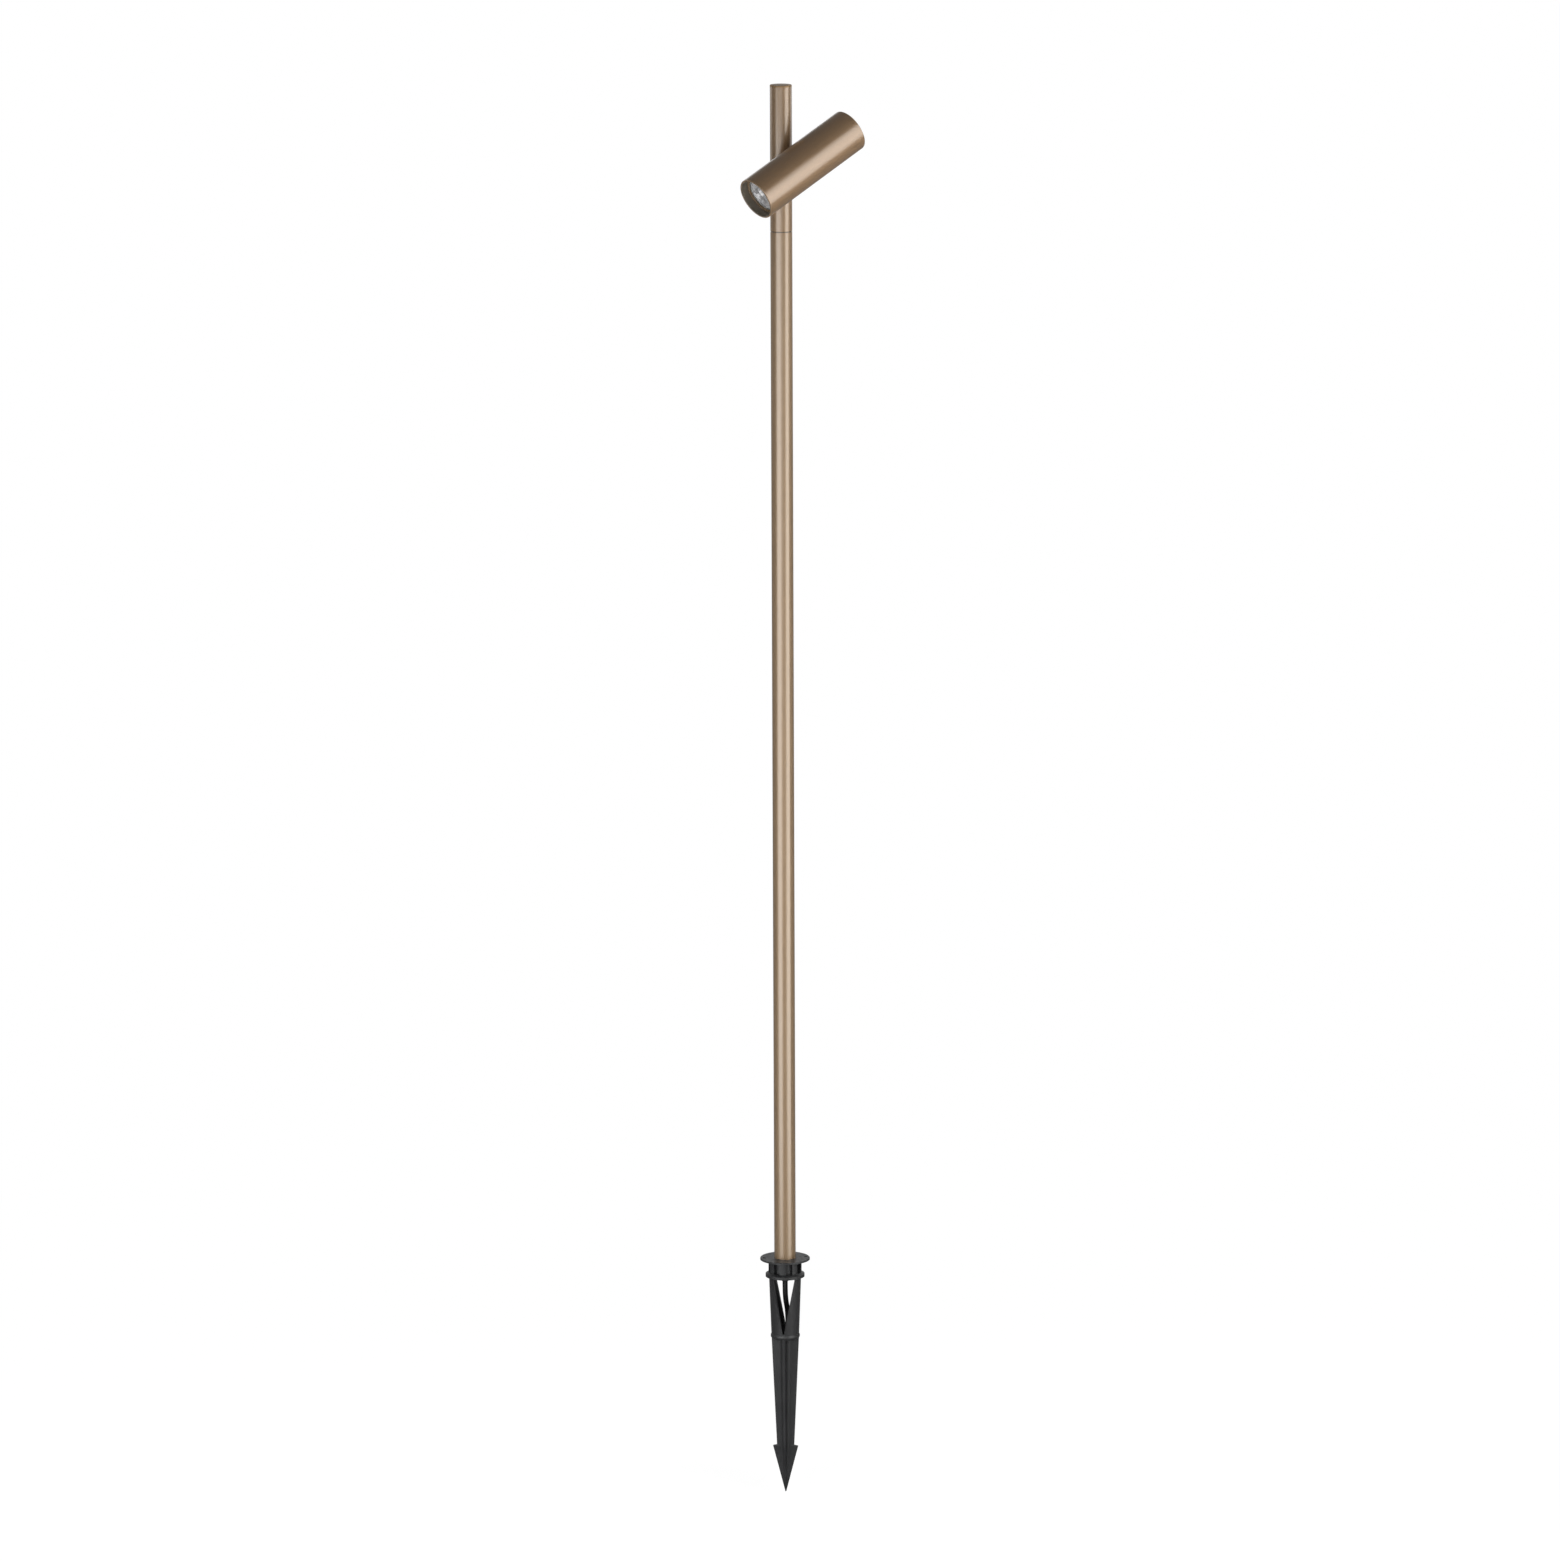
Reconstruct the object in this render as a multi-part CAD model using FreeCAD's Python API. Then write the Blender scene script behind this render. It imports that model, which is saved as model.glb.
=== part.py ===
import FreeCAD, Part
import math
import os

# Garden spike spotlight, in millimetres, +Z up.
# Origin: on the post's axis, at ground level, which is the underside of the spike's flange.
# The lamp looks towards -Y and down, and the head hangs beside the post on its +X side.

Vector = FreeCAD.Vector
ORIGIN = Vector(0, 0, 0)
X_AXIS = Vector(1, 0, 0)
UP = Vector(0, 0, 1)
FULL_TURN = 360.0
SAME = 1e-6             # lengths that differ by less are equal

# Fits, all radial or end gaps
GLUED_GAP = 0.05        # a pressed or glued piece in its seat
RUNNING_GAP = 0.05      # a shaft that turns in its hole
LOOSE_GAP = 0.3         # pieces that pass each other freely
EDGE_ROUND = 0.5        # edges of the turned aluminium pieces

# Post: two tubes that meet at a seam, where the upper one turns
POST_RADIUS = 11.0
POST_WALL = 1.5
SEAM_Z = 1060.0
SEAM_GAP = 0.8
PIVOT_ABOVE_SEAM = 70.0
TOP_ABOVE_PIVOT = 77.0
CAP_RIM = 2.0
CAP_PLUG = 8.0

# Ground spike, upper moulding
SPIKE_YAW = 45.0        # the windows face this far round from -Y
FLANGE_RADIUS = 25.5
FLANGE_THICKNESS = 1.8
SCREW_CIRCLE_RADIUS = 21.5
SCREW_HOLE_RADIUS = 1.8
SCREW_HOLE_TURN = 15.0  # from the line of the barbs
SOCKET_DEPTH = 15.0     # from ground level to the socket's floor
SOCKET_FLOOR = 3.0
SOCKET_WALL = 2.2
COLLAR_RADIUS = 17.0
COLLAR_RIBS = 8
COLLAR_POCKET_WIDTH = 7.0
RING_RADIUS = 20.0
RING_ROOT = 6.2         # height where it leaves the collar
RING_EDGE = 3.0         # height of its outer edge
RING_TOP_DEPTH = 13.3   # below ground level

# Ground spike, legs and bead
LEG_TOP_RADIUS = 16.4
BEAD_DEPTH = 80.5
BEAD_PROUD = 0.9
BEAD_HEIGHT = 4.8
WINDOW_HALF_WIDTH = 11.6
WINDOW_APEX_ROUND = 0.8
CAVITY_TOP_RADIUS = 12.6
CAVITY_LOW_RADIUS = 7.6
CAVITY_LOW_DEPTH = 72.0
CAVITY_END_DEPTH = 78.0

# Ground spike, blade and barbed tip
BLADE_TOP_REACH = 14.1
BLADE_LOW_REACH = 8.8
BLADE_TOP_EDGE = 1.5    # half thickness of an arm at its edge
BLADE_LOW_EDGE = 1.1
BLADE_TOP_FLUTE = 7.6   # distance of a flute's centre along its two arms
BLADE_LOW_FLUTE = 4.9
BLADE_TOP_FLUTE_RADIUS = 5.4
BLADE_LOW_FLUTE_RADIUS = 3.4
BARB_DEPTH = 198.0
BARB_REACH = 13.0
BARB_DROP = 0.9         # how far the barb's upper face slopes down and out
TIP_DEPTH = 247.0
TIP_REACH = 0.45

# Cable and its way into the post
CABLE_RADIUS = 2.7
CORE_RADIUS = 0.9
CORE_SPACING = 2.2
PLUG_LIP = 1.2
PLUG_TOP = 12.0         # above ground level
RELIEF_TOP = 1.0        # above ground level
RELIEF_END_DEPTH = 23.0
RELIEF_TAPER_DEPTH = 16.0
RELIEF_RADIUS = 5.0
RELIEF_TIP_RADIUS = 3.5

# Swivel at the seam
SPIGOT_PLUG = 26.0      # length in the lower tube
SPIGOT_SHAFT_RADIUS = 7.0
SPIGOT_BORE_RADIUS = 3.6
SPIGOT_THREAD_RADIUS = 6.0
SPIGOT_THREAD = 9.0
BUSH_LENGTH = 22.0
SEAM_WASHER_RADIUS = 10.3
WAVE_WASHER_RADIUS = 8.8
WAVE_WASHER_THICKNESS = 0.8
SWIVEL_NUT_ACROSS = 15.0
SWIVEL_NUT_HEIGHT = 5.0
RISER_ABOVE_SPIGOT = 3.0

# Head
HEAD_TILT = 27.3        # below the horizontal, at rest
HEAD_RADIUS = 22.0
HEAD_LENGTH = 132.0
HEAD_GAP = 3.0          # between the post and the head
FRONT_BORE_RADIUS = 20.0
MAIN_BORE_RADIUS = 19.0
RECESS_DEPTH = 8.2      # from the rim to the front ring
FRONT_RING_RADIUS = 18.0
FRONT_RING_THICKNESS = 1.2
GLASS_THICKNESS = 2.0
SEAL_THICKNESS = 0.8
SEAL_INNER_RADIUS = 17.9
REAR_CAP_INSET = 0.6
REAR_CAP_THICKNESS = 9.0
REAR_CAP_DISH = 1.0
REAR_CAP_RIM = 2.4
REAR_SEAL_SECTION = 1.1
SPANNER_HOLE_RADIUS = 1.5
SPANNER_HOLE_CIRCLE = 11.0
SPANNER_HOLE_DEPTH = 2.5

# Pivot between post and head
PIVOT_DISC_RADIUS = 7.0
POST_SADDLE = 1.2       # least thickness, on the post's side
PIVOT_WASHER = 0.5
BOLT_RADIUS = 4.0
BOLT_BORE_RADIUS = 2.6
BOLT_FLANGE_RADIUS = 6.5
BOLT_FLANGE = 2.2       # least thickness
BOLT_END = 0.8          # from the post's axis
INNER_SADDLE_FACE = 6.0  # from the post's axis
INNER_SADDLE_RADIUS = 6.2
DISC_SPRING = 0.8
DISC_SPRING_RADIUS = 6.0
PIVOT_NUT_ACROSS = 12.0
PIVOT_NUT_HEIGHT = 3.6

# Lamp, a 35 mm reflector lamp
LAMP_RADIUS = 17.5
LAMP_DEPTH = 20.0
LAMP_RIM = 2.4
LAMP_WALL = 1.2
LAMP_NECK_RADIUS = 7.5
LAMP_GAP = 0.3          # behind the glass, inside its seal
CAPSULE_RADIUS = 3.4
CAPSULE_LENGTH = 13.0
LAMP_BASE_WIDTH = 11.0
LAMP_BASE_LENGTH = 14.0
LAMP_BASE_DEPTH = 9.5
PIN_RADIUS = 0.5
PIN_LENGTH = 6.0
PIN_SPACING = 4.0
HOLDER_RADIUS = 9.0
HOLDER_LENGTH = 11.0
CARRIER_WALL = 1.1
CARRIER_BACK = 1.5
CARRIER_WINDOWS = 3
CARRIER_WINDOW_WIDTH = 16.0
CARRIER_BAND = 6.0

# Hank of put-away cable, behind the spike and in line with it
HANK_TURN = 143.0       # direction from the post's axis, seen from above
HANK_MIDDLE = 45.0      # distance of its middle from the post's axis
HANK_RUN = 84.0         # straight distance between the folds
HANK_STEP = 3.3         # the spiral draws in by this much in each half turn
HANK_OUTER = 24.9       # first run's distance from the middle
HANK_DRAW_IN = 10.0     # how much nearer the middle the runs are at the waist
HANK_LAYERS = 5.9       # distance between the two layers
GAP_CHECK_STEP = 1.5    # along the hank, where its gap to itself is measured
TIE_WIDTH = 4.5
TIE_THICKNESS = 1.2
TIE_LOCK = (4.0, 6.0, 5.5)
CORE_TAIL = 14.0        # insulated part of the bare ends
CORE_STRIPPED = 8.0
STRIPPED_RADIUS = 0.5

# The cable's free route: distance behind the post's axis, sideways towards the hank's
# second layer, and height
CABLE_ROUTE = [
    (0.0, 0.0, -23.0),
    (0.0, 0.0, -31.8),
    (2.4, -0.35, -40.3),
    (7.1, -1.0, -47.7),
    (13.4, -1.9, -53.8),
    (17.8, -2.5, -61.5),
    (20.3, -2.9, -70.0),
    (21.4, -3.1, -81.0),
    (21.0, -3.0, -91.5),
    (20.1, -2.95, -101.5),
    (20.1, -2.95, -110.0),
]
ARC_SHARE = 0.45        # share of the shorter run that an arc's tangent takes

# Worked out from the sizes above
POST_BORE = POST_RADIUS - POST_WALL
PIVOT_Z = SEAM_Z + PIVOT_ABOVE_SEAM
POST_TOP_Z = PIVOT_Z + TOP_ABOVE_PIVOT
SPIGOT_LENGTH = SEAM_GAP / 2 + BUSH_LENGTH
HEAD_REACH = POST_RADIUS + HEAD_GAP + HEAD_RADIUS
HALF_HEAD = HEAD_LENGTH / 2
RING_FACE = HALF_HEAD - RECESS_DEPTH
GLASS_FACE = RING_FACE - FRONT_RING_THICKNESS
SEAL_FACE = GLASS_FACE - GLASS_THICKNESS
SHOULDER = SEAL_FACE - SEAL_THICKNESS
LAMP_FACE = SEAL_FACE - LAMP_GAP
LAMP_BACK = LAMP_FACE - LAMP_DEPTH
BASE_BACK = LAMP_BACK - LAMP_BASE_LENGTH
HOLDER_FACE = BASE_BACK - GLUED_GAP
HOLDER_BACK = HOLDER_FACE - HOLDER_LENGTH
PIVOT_FACE = POST_RADIUS + POST_SADDLE
RING_LOW_DEPTH = RING_TOP_DEPTH + RING_ROOT
WINDOW_TOP_DEPTH = SOCKET_DEPTH + SOCKET_FLOOR


# Tools for shapes

def flat(point):
    """A (radius, height) pair as a point in the XZ plane."""
    return Vector(point[0], 0, point[1])


def outline(start, *steps):
    """A closed wire in the XZ plane. A step is a point, or a (middle, end) pair for an arc."""
    edges = []
    here = start
    for step in steps + (start,):
        if isinstance(step[0], tuple):
            middle, end = step
            edges.append(Part.Arc(flat(here), flat(middle), flat(end)).toShape())
        else:
            end = step
            edges.append(Part.LineSegment(flat(here), flat(end)).toShape())
        here = end
    return Part.Wire(edges)


def turned(*points, angle=FULL_TURN):
    """A solid of revolution about Z from (radius, height) points."""
    return Part.Face(outline(*points)).revolve(ORIGIN, UP, angle)


def disc(radius, low, high, bore=0.0):
    """A cylinder about Z from one height to another, with a bore where one is given."""
    body = Part.makeCylinder(radius, high - low, Vector(0, 0, low))
    if bore:
        body = body.cut(Part.makeCylinder(bore, high - low, Vector(0, 0, low)))
    return body


def block(width, depth, low, high):
    """A box centred on the Z axis."""
    return Part.makeBox(width, depth, high - low, Vector(-width / 2, -depth / 2, low))


def hexagon(across, low, high, bore):
    """A hexagon nut about Z."""
    sides = 6
    first = Vector(across / 2 / math.cos(math.pi / sides), 0, low)
    corners = [rotated(Part.Vertex(first), UP, FULL_TURN * k / sides).Point for k in range(sides)]
    body = Part.Face(Part.makePolygon(corners + corners[:1])).extrude(Vector(0, 0, high - low))
    return body.cut(Part.makeCylinder(bore, high - low, Vector(0, 0, low)))


def around(shape, count, start=0.0):
    """Copies of a shape, evenly spaced round the Z axis."""
    return [rotated(shape, UP, start + FULL_TURN * k / count) for k in range(count)]


def rotated(shape, axis, angle, centre=ORIGIN):
    copy = shape.copy()
    copy.rotate(centre, axis, angle)
    return copy


def moved(shape, x=0.0, y=0.0, z=0.0):
    copy = shape.copy()
    copy.translate(Vector(x, y, z))
    return copy


def on_spike(shape):
    """From the spike's own frame, windows facing -Y, to the light's."""
    return rotated(shape, UP, SPIKE_YAW)


def on_pivot(shape):
    """From Z up the pivot's axis to the light's frame: heights become distances from the post's axis."""
    return moved(rotated(shape, Vector(0, 1, 0), 90), z=PIVOT_Z)


def on_head(shape):
    """From the head's own frame, Z along its axis and the lamp at the top, to the light's."""
    return moved(rotated(shape, X_AXIS, 90 + HEAD_TILT), x=HEAD_REACH, z=PIVOT_Z)


def on_hank(shape):
    """From the hank's plane, X behind the post and Z up, to the light's frame."""
    return rotated(shape, UP, HANK_TURN)


def edges_at(solid, radius, height):
    """The round edges of a turned solid with this radius at this height."""
    found = []
    for edge in solid.Edges:
        curve = edge.Curve
        if isinstance(curve, Part.Circle) and abs(curve.Radius - radius) < SAME:
            if abs(curve.Center.z - height) < SAME:
                found.append(edge)
    return found


def export(name, shape):
    shape.exportStep(os.path.join("parts", name + ".step"))


# Ground spike

def flange_and_socket():
    """Flange, socket for the post and the ring under the collar, as one turned body."""
    ring_chamfer = (RING_ROOT - RING_EDGE) / 2
    socket = POST_RADIUS + GLUED_GAP
    relief_hole = RELIEF_RADIUS + LOOSE_GAP
    body = turned(
        (socket, FLANGE_THICKNESS),
        (FLANGE_RADIUS - EDGE_ROUND, FLANGE_THICKNESS),
        (FLANGE_RADIUS, FLANGE_THICKNESS - EDGE_ROUND),
        (FLANGE_RADIUS, 0.0),
        (COLLAR_RADIUS, 0.0),
        (COLLAR_RADIUS, -RING_TOP_DEPTH),
        (RING_RADIUS, -RING_TOP_DEPTH - ring_chamfer),
        (RING_RADIUS, -RING_TOP_DEPTH - ring_chamfer - RING_EDGE),
        (LEG_TOP_RADIUS, -RING_LOW_DEPTH),
        (CAVITY_TOP_RADIUS, -RING_LOW_DEPTH),
        (CAVITY_TOP_RADIUS, -WINDOW_TOP_DEPTH),
        (relief_hole, -WINDOW_TOP_DEPTH),
        (relief_hole, -SOCKET_DEPTH),
        (socket, -SOCKET_DEPTH),
    )
    return body


def collar_pockets():
    """The pockets between the collar's ribs, down to the socket's wall."""
    inner = POST_RADIUS + GLUED_GAP + SOCKET_WALL
    sleeve = disc(RING_RADIUS, -RING_TOP_DEPTH, 0.0, bore=inner)
    slot = Part.makeBox(COLLAR_POCKET_WIDTH, RING_RADIUS, RING_TOP_DEPTH,
                        Vector(-COLLAR_POCKET_WIDTH / 2, -RING_RADIUS, -RING_TOP_DEPTH))
    return around(sleeve.common(slot), COLLAR_RIBS, FULL_TURN / COLLAR_RIBS / 2)


def legs():
    """The tapered shell under the ring, hollow for the cable, down to the bead."""
    shell = turned(
        (0.0, -RING_LOW_DEPTH),
        (LEG_TOP_RADIUS, -RING_LOW_DEPTH),
        (BLADE_TOP_REACH, -BEAD_DEPTH - BEAD_HEIGHT / 2),
        (0.0, -BEAD_DEPTH - BEAD_HEIGHT / 2),
    )
    cavity = turned(
        (0.0, -RING_LOW_DEPTH),
        (CAVITY_TOP_RADIUS, -RING_LOW_DEPTH),
        (CAVITY_LOW_RADIUS, -CAVITY_LOW_DEPTH),
        (0.0, -CAVITY_END_DEPTH),
    )
    middle = (BLADE_TOP_REACH + BEAD_PROUD, -BEAD_DEPTH)
    bead = turned(
        (0.0, -BEAD_DEPTH + BEAD_HEIGHT / 2),
        (BLADE_TOP_REACH, -BEAD_DEPTH + BEAD_HEIGHT / 2),
        (middle, (BLADE_TOP_REACH, -BEAD_DEPTH - BEAD_HEIGHT / 2)),
        (0.0, -BEAD_DEPTH - BEAD_HEIGHT / 2),
    )
    return shell.fuse(bead).cut(cavity)


def windows():
    """The V window, right through from front to back, with a rounded point."""
    width, height = WINDOW_HALF_WIDTH, BEAD_DEPTH - WINDOW_TOP_DEPTH
    lean = math.atan2(width, height)
    apex = -BEAD_DEPTH + WINDOW_APEX_ROUND / math.sin(lean)
    side = (WINDOW_APEX_ROUND * math.cos(lean), apex - WINDOW_APEX_ROUND * math.sin(lean))
    wire = outline(
        (-width, -WINDOW_TOP_DEPTH),
        (width, -WINDOW_TOP_DEPTH),
        side,
        ((0.0, apex - WINDOW_APEX_ROUND), (-side[0], side[1])),
    )
    prism = Part.Face(wire).extrude(Vector(0, 2 * RING_RADIUS, 0))
    return moved(prism, y=-RING_RADIUS)


def star(depth, reach_x, reach_y, edge, flute, radius):
    """Cross section of the blade: four thin arms with a round flute between each two.

    The flute's centre is as far along one arm as along the next.
    """
    wire = []
    arms = [(1, 0, reach_x), (0, 1, reach_y), (-1, 0, reach_x), (0, -1, reach_y)]
    root = flute - radius
    valley = flute - radius / math.sqrt(2)
    for k, (ax, ay, reach) in enumerate(arms):
        bx, by, following = arms[(k + 1) % len(arms)]
        corner = Vector(ax * reach + ay * edge, ay * reach - ax * edge, -depth)
        first = Vector(ax * reach + bx * edge, ay * reach + by * edge, -depth)
        second = Vector(ax * flute + bx * root, ay * flute + by * root, -depth)
        middle = Vector((ax + bx) * valley, (ay + by) * valley, -depth)
        third = Vector(ax * root + bx * flute, ay * root + by * flute, -depth)
        fourth = Vector(ax * edge + bx * following, ay * edge + by * following, -depth)
        wire.append(Part.LineSegment(corner, first).toShape())
        wire.append(Part.LineSegment(first, second).toShape())
        wire.append(Part.Arc(second, middle, third).toShape())
        wire.append(Part.LineSegment(third, fourth).toShape())
    return Part.Wire(wire)


def blade():
    """The tapered blade from the bead to the barbs, and the barbed point."""
    low_form = (BLADE_LOW_EDGE, BLADE_LOW_FLUTE, BLADE_LOW_FLUTE_RADIUS)
    top = star(BEAD_DEPTH, BLADE_TOP_REACH, BLADE_TOP_REACH,
               BLADE_TOP_EDGE, BLADE_TOP_FLUTE, BLADE_TOP_FLUTE_RADIUS)
    low = star(BARB_DEPTH, BLADE_LOW_REACH, BLADE_LOW_REACH, *low_form)
    shoulder = star(BARB_DEPTH - BARB_DROP, BLADE_LOW_REACH, BLADE_LOW_REACH, *low_form)
    barbs = star(BARB_DEPTH, BARB_REACH, BLADE_LOW_REACH, *low_form)
    share = TIP_REACH / BARB_REACH
    tip = star(TIP_DEPTH, TIP_REACH, BLADE_LOW_REACH * share, *[size * share for size in low_form])
    lofts = [Part.makeLoft(pair, True, True) for pair in ([top, low], [shoulder, barbs], [barbs, tip])]
    return lofts[0].fuse(lofts[1:])


def ground_spike():
    """One black moulding: it is the piece that the whole light stands on."""
    body = flange_and_socket().cut(collar_pockets())
    body = body.fuse(legs()).cut(windows())
    hole = moved(disc(SCREW_HOLE_RADIUS, -LOOSE_GAP, FLANGE_THICKNESS + LOOSE_GAP), x=SCREW_CIRCLE_RADIUS)
    body = body.cut(around(hole, 2, SCREW_HOLE_TURN))
    body = body.fuse(blade()).removeSplitter()
    return on_spike(body)


# Post and its foot

def lower_post():
    low = -SOCKET_DEPTH + PLUG_LIP
    return disc(POST_RADIUS, low, SEAM_Z - SEAM_GAP / 2, bore=POST_BORE)


def upper_post():
    """The tube that turns, with the hole that the pivot bolt passes."""
    tube = disc(POST_RADIUS, SEAM_Z + SEAM_GAP / 2, POST_TOP_Z - CAP_RIM, bore=POST_BORE)
    hole = on_pivot(disc(BOLT_RADIUS + RUNNING_GAP, 0.0, POST_RADIUS + POST_WALL))
    return tube.cut(hole)


def top_cap():
    """Flush cap: a rim as wide as the post and a plug inside it."""
    plug = POST_BORE - GLUED_GAP
    return turned(
        (0.0, POST_TOP_Z),
        (POST_RADIUS - EDGE_ROUND, POST_TOP_Z),
        (POST_RADIUS, POST_TOP_Z - EDGE_ROUND),
        (POST_RADIUS, POST_TOP_Z - CAP_RIM),
        (plug, POST_TOP_Z - CAP_RIM),
        (plug, POST_TOP_Z - CAP_RIM - CAP_PLUG),
        (plug - POST_WALL, POST_TOP_Z - CAP_RIM - CAP_PLUG),
        (plug - POST_WALL, POST_TOP_Z - CAP_RIM),
        (0.0, POST_TOP_Z - CAP_RIM),
    )


def foot_plug():
    """Closes the lower tube, carries it on its lip and holds the strain relief."""
    bore = CABLE_RADIUS + LOOSE_GAP
    pocket = RELIEF_RADIUS + GLUED_GAP
    body = POST_BORE - GLUED_GAP
    return turned(
        (bore, PLUG_TOP),
        (body, PLUG_TOP),
        (body, -SOCKET_DEPTH + PLUG_LIP),
        (POST_RADIUS, -SOCKET_DEPTH + PLUG_LIP),
        (POST_RADIUS, -SOCKET_DEPTH),
        (pocket, -SOCKET_DEPTH),
        (pocket, RELIEF_TOP + GLUED_GAP),
        (bore, RELIEF_TOP + GLUED_GAP),
    )


def strain_relief():
    """Tapered sleeve where the cable leaves the foot."""
    bore = CABLE_RADIUS + GLUED_GAP
    return turned(
        (bore, RELIEF_TOP),
        (RELIEF_RADIUS, RELIEF_TOP),
        (RELIEF_RADIUS, -RELIEF_TAPER_DEPTH),
        (RELIEF_TIP_RADIUS, -RELIEF_END_DEPTH),
        (bore, -RELIEF_END_DEPTH),
    )


def riser_cable():
    """The supply cable inside the post, up through the swivel."""
    top = SEAM_Z + SPIGOT_LENGTH + SPIGOT_THREAD + RISER_ABOVE_SPIGOT
    return disc(CABLE_RADIUS, -RELIEF_END_DEPTH, top)


# Swivel at the seam

def swivel_spigot():
    """Turned spigot: a plug in the lower tube, a shaft for the bush and a thread for the nut."""
    face = SEAM_Z - SEAM_GAP / 2
    shaft_end = SEAM_Z + SPIGOT_LENGTH - GLUED_GAP
    return turned(
        (SPIGOT_BORE_RADIUS, face - SPIGOT_PLUG),
        (POST_BORE - GLUED_GAP, face - SPIGOT_PLUG),
        (POST_BORE - GLUED_GAP, face),
        (SPIGOT_SHAFT_RADIUS, face),
        (SPIGOT_SHAFT_RADIUS, shaft_end),
        (SPIGOT_THREAD_RADIUS, shaft_end),
        (SPIGOT_THREAD_RADIUS, SEAM_Z + SPIGOT_LENGTH + SPIGOT_THREAD),
        (SPIGOT_BORE_RADIUS, SEAM_Z + SPIGOT_LENGTH + SPIGOT_THREAD),
    )


def seam_washer():
    return disc(SEAM_WASHER_RADIUS, SEAM_Z - SEAM_GAP / 2, SEAM_Z + SEAM_GAP / 2,
                bore=SPIGOT_SHAFT_RADIUS + RUNNING_GAP)


def swivel_bush():
    low = SEAM_Z + SEAM_GAP / 2
    return disc(POST_BORE - GLUED_GAP, low, low + BUSH_LENGTH, bore=SPIGOT_SHAFT_RADIUS + RUNNING_GAP)


def wave_washer():
    low = SEAM_Z + SPIGOT_LENGTH
    return disc(WAVE_WASHER_RADIUS, low, low + WAVE_WASHER_THICKNESS,
                bore=SPIGOT_THREAD_RADIUS + GLUED_GAP)


def swivel_nut():
    low = SEAM_Z + SPIGOT_LENGTH + WAVE_WASHER_THICKNESS
    return hexagon(SWIVEL_NUT_ACROSS, low, low + SWIVEL_NUT_HEIGHT, SPIGOT_THREAD_RADIUS + GLUED_GAP)


# Pivot

def post_barrel(radius):
    return disc(radius, SEAM_Z, POST_TOP_Z)


def head_barrel(radius):
    return on_head(disc(radius, -HALF_HEAD, HALF_HEAD))


def post_saddle():
    """Sits on the round post and gives the pivot a flat face."""
    stub = on_pivot(disc(PIVOT_DISC_RADIUS, BOLT_END, PIVOT_FACE, bore=BOLT_RADIUS + RUNNING_GAP))
    return stub.cut(post_barrel(POST_RADIUS + GLUED_GAP))


def pivot_washer():
    return on_pivot(disc(PIVOT_DISC_RADIUS, PIVOT_FACE, PIVOT_FACE + PIVOT_WASHER,
                         bore=BOLT_RADIUS + RUNNING_GAP))


def head_saddle():
    """Sits on the round head and gives the pivot a flat face."""
    stub = on_pivot(disc(PIVOT_DISC_RADIUS, PIVOT_FACE + PIVOT_WASHER, HEAD_REACH,
                         bore=BOLT_RADIUS + GLUED_GAP))
    return stub.cut(head_barrel(HEAD_RADIUS + GLUED_GAP))


def pivot_bolt():
    """Hollow bolt: its flange seats in the head's bore and its thread takes the nut in the post."""
    flange_seat = HEAD_REACH - MAIN_BORE_RADIUS
    flange = on_pivot(disc(BOLT_FLANGE_RADIUS, BOLT_END, flange_seat + BOLT_FLANGE))
    flange = flange.common(head_barrel(MAIN_BORE_RADIUS - GLUED_GAP))
    shank = on_pivot(disc(BOLT_RADIUS, BOLT_END, flange_seat + BOLT_FLANGE))
    bore = on_pivot(disc(BOLT_BORE_RADIUS, BOLT_END, flange_seat + BOLT_FLANGE))
    return flange.fuse(shank).cut(bore).removeSplitter()


def inner_saddle():
    """Seat for the spring inside the round post."""
    stub = on_pivot(disc(INNER_SADDLE_RADIUS, INNER_SADDLE_FACE, POST_RADIUS,
                         bore=BOLT_RADIUS + RUNNING_GAP))
    return stub.common(post_barrel(POST_BORE - GLUED_GAP))


def disc_spring():
    return on_pivot(disc(DISC_SPRING_RADIUS, INNER_SADDLE_FACE - DISC_SPRING, INNER_SADDLE_FACE,
                         bore=BOLT_RADIUS + GLUED_GAP))


def pivot_nut():
    high = INNER_SADDLE_FACE - DISC_SPRING
    return on_pivot(hexagon(PIVOT_NUT_ACROSS, high - PIVOT_NUT_HEIGHT, high, BOLT_RADIUS + GLUED_GAP))


# Head, in its own frame: Z along the axis, the lamp end at the top

def head_housing():
    tube = turned(
        (FRONT_BORE_RADIUS, HALF_HEAD),
        (HEAD_RADIUS, HALF_HEAD),
        (HEAD_RADIUS, -HALF_HEAD),
        (MAIN_BORE_RADIUS, -HALF_HEAD),
        (MAIN_BORE_RADIUS, SHOULDER),
        (FRONT_BORE_RADIUS, SHOULDER),
    )
    rims = edges_at(tube, HEAD_RADIUS, HALF_HEAD) + edges_at(tube, HEAD_RADIUS, -HALF_HEAD)
    rims += edges_at(tube, FRONT_BORE_RADIUS, HALF_HEAD)
    tube = tube.makeFillet(EDGE_ROUND, rims)
    hole = on_pivot(disc(BOLT_RADIUS + GLUED_GAP, POST_RADIUS, HEAD_REACH))
    return on_head(tube).cut(hole)


def front_ring():
    return on_head(disc(FRONT_BORE_RADIUS - GLUED_GAP, GLASS_FACE, RING_FACE, bore=FRONT_RING_RADIUS))


def front_glass():
    return on_head(disc(FRONT_BORE_RADIUS - GLUED_GAP, SEAL_FACE, GLASS_FACE))


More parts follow.
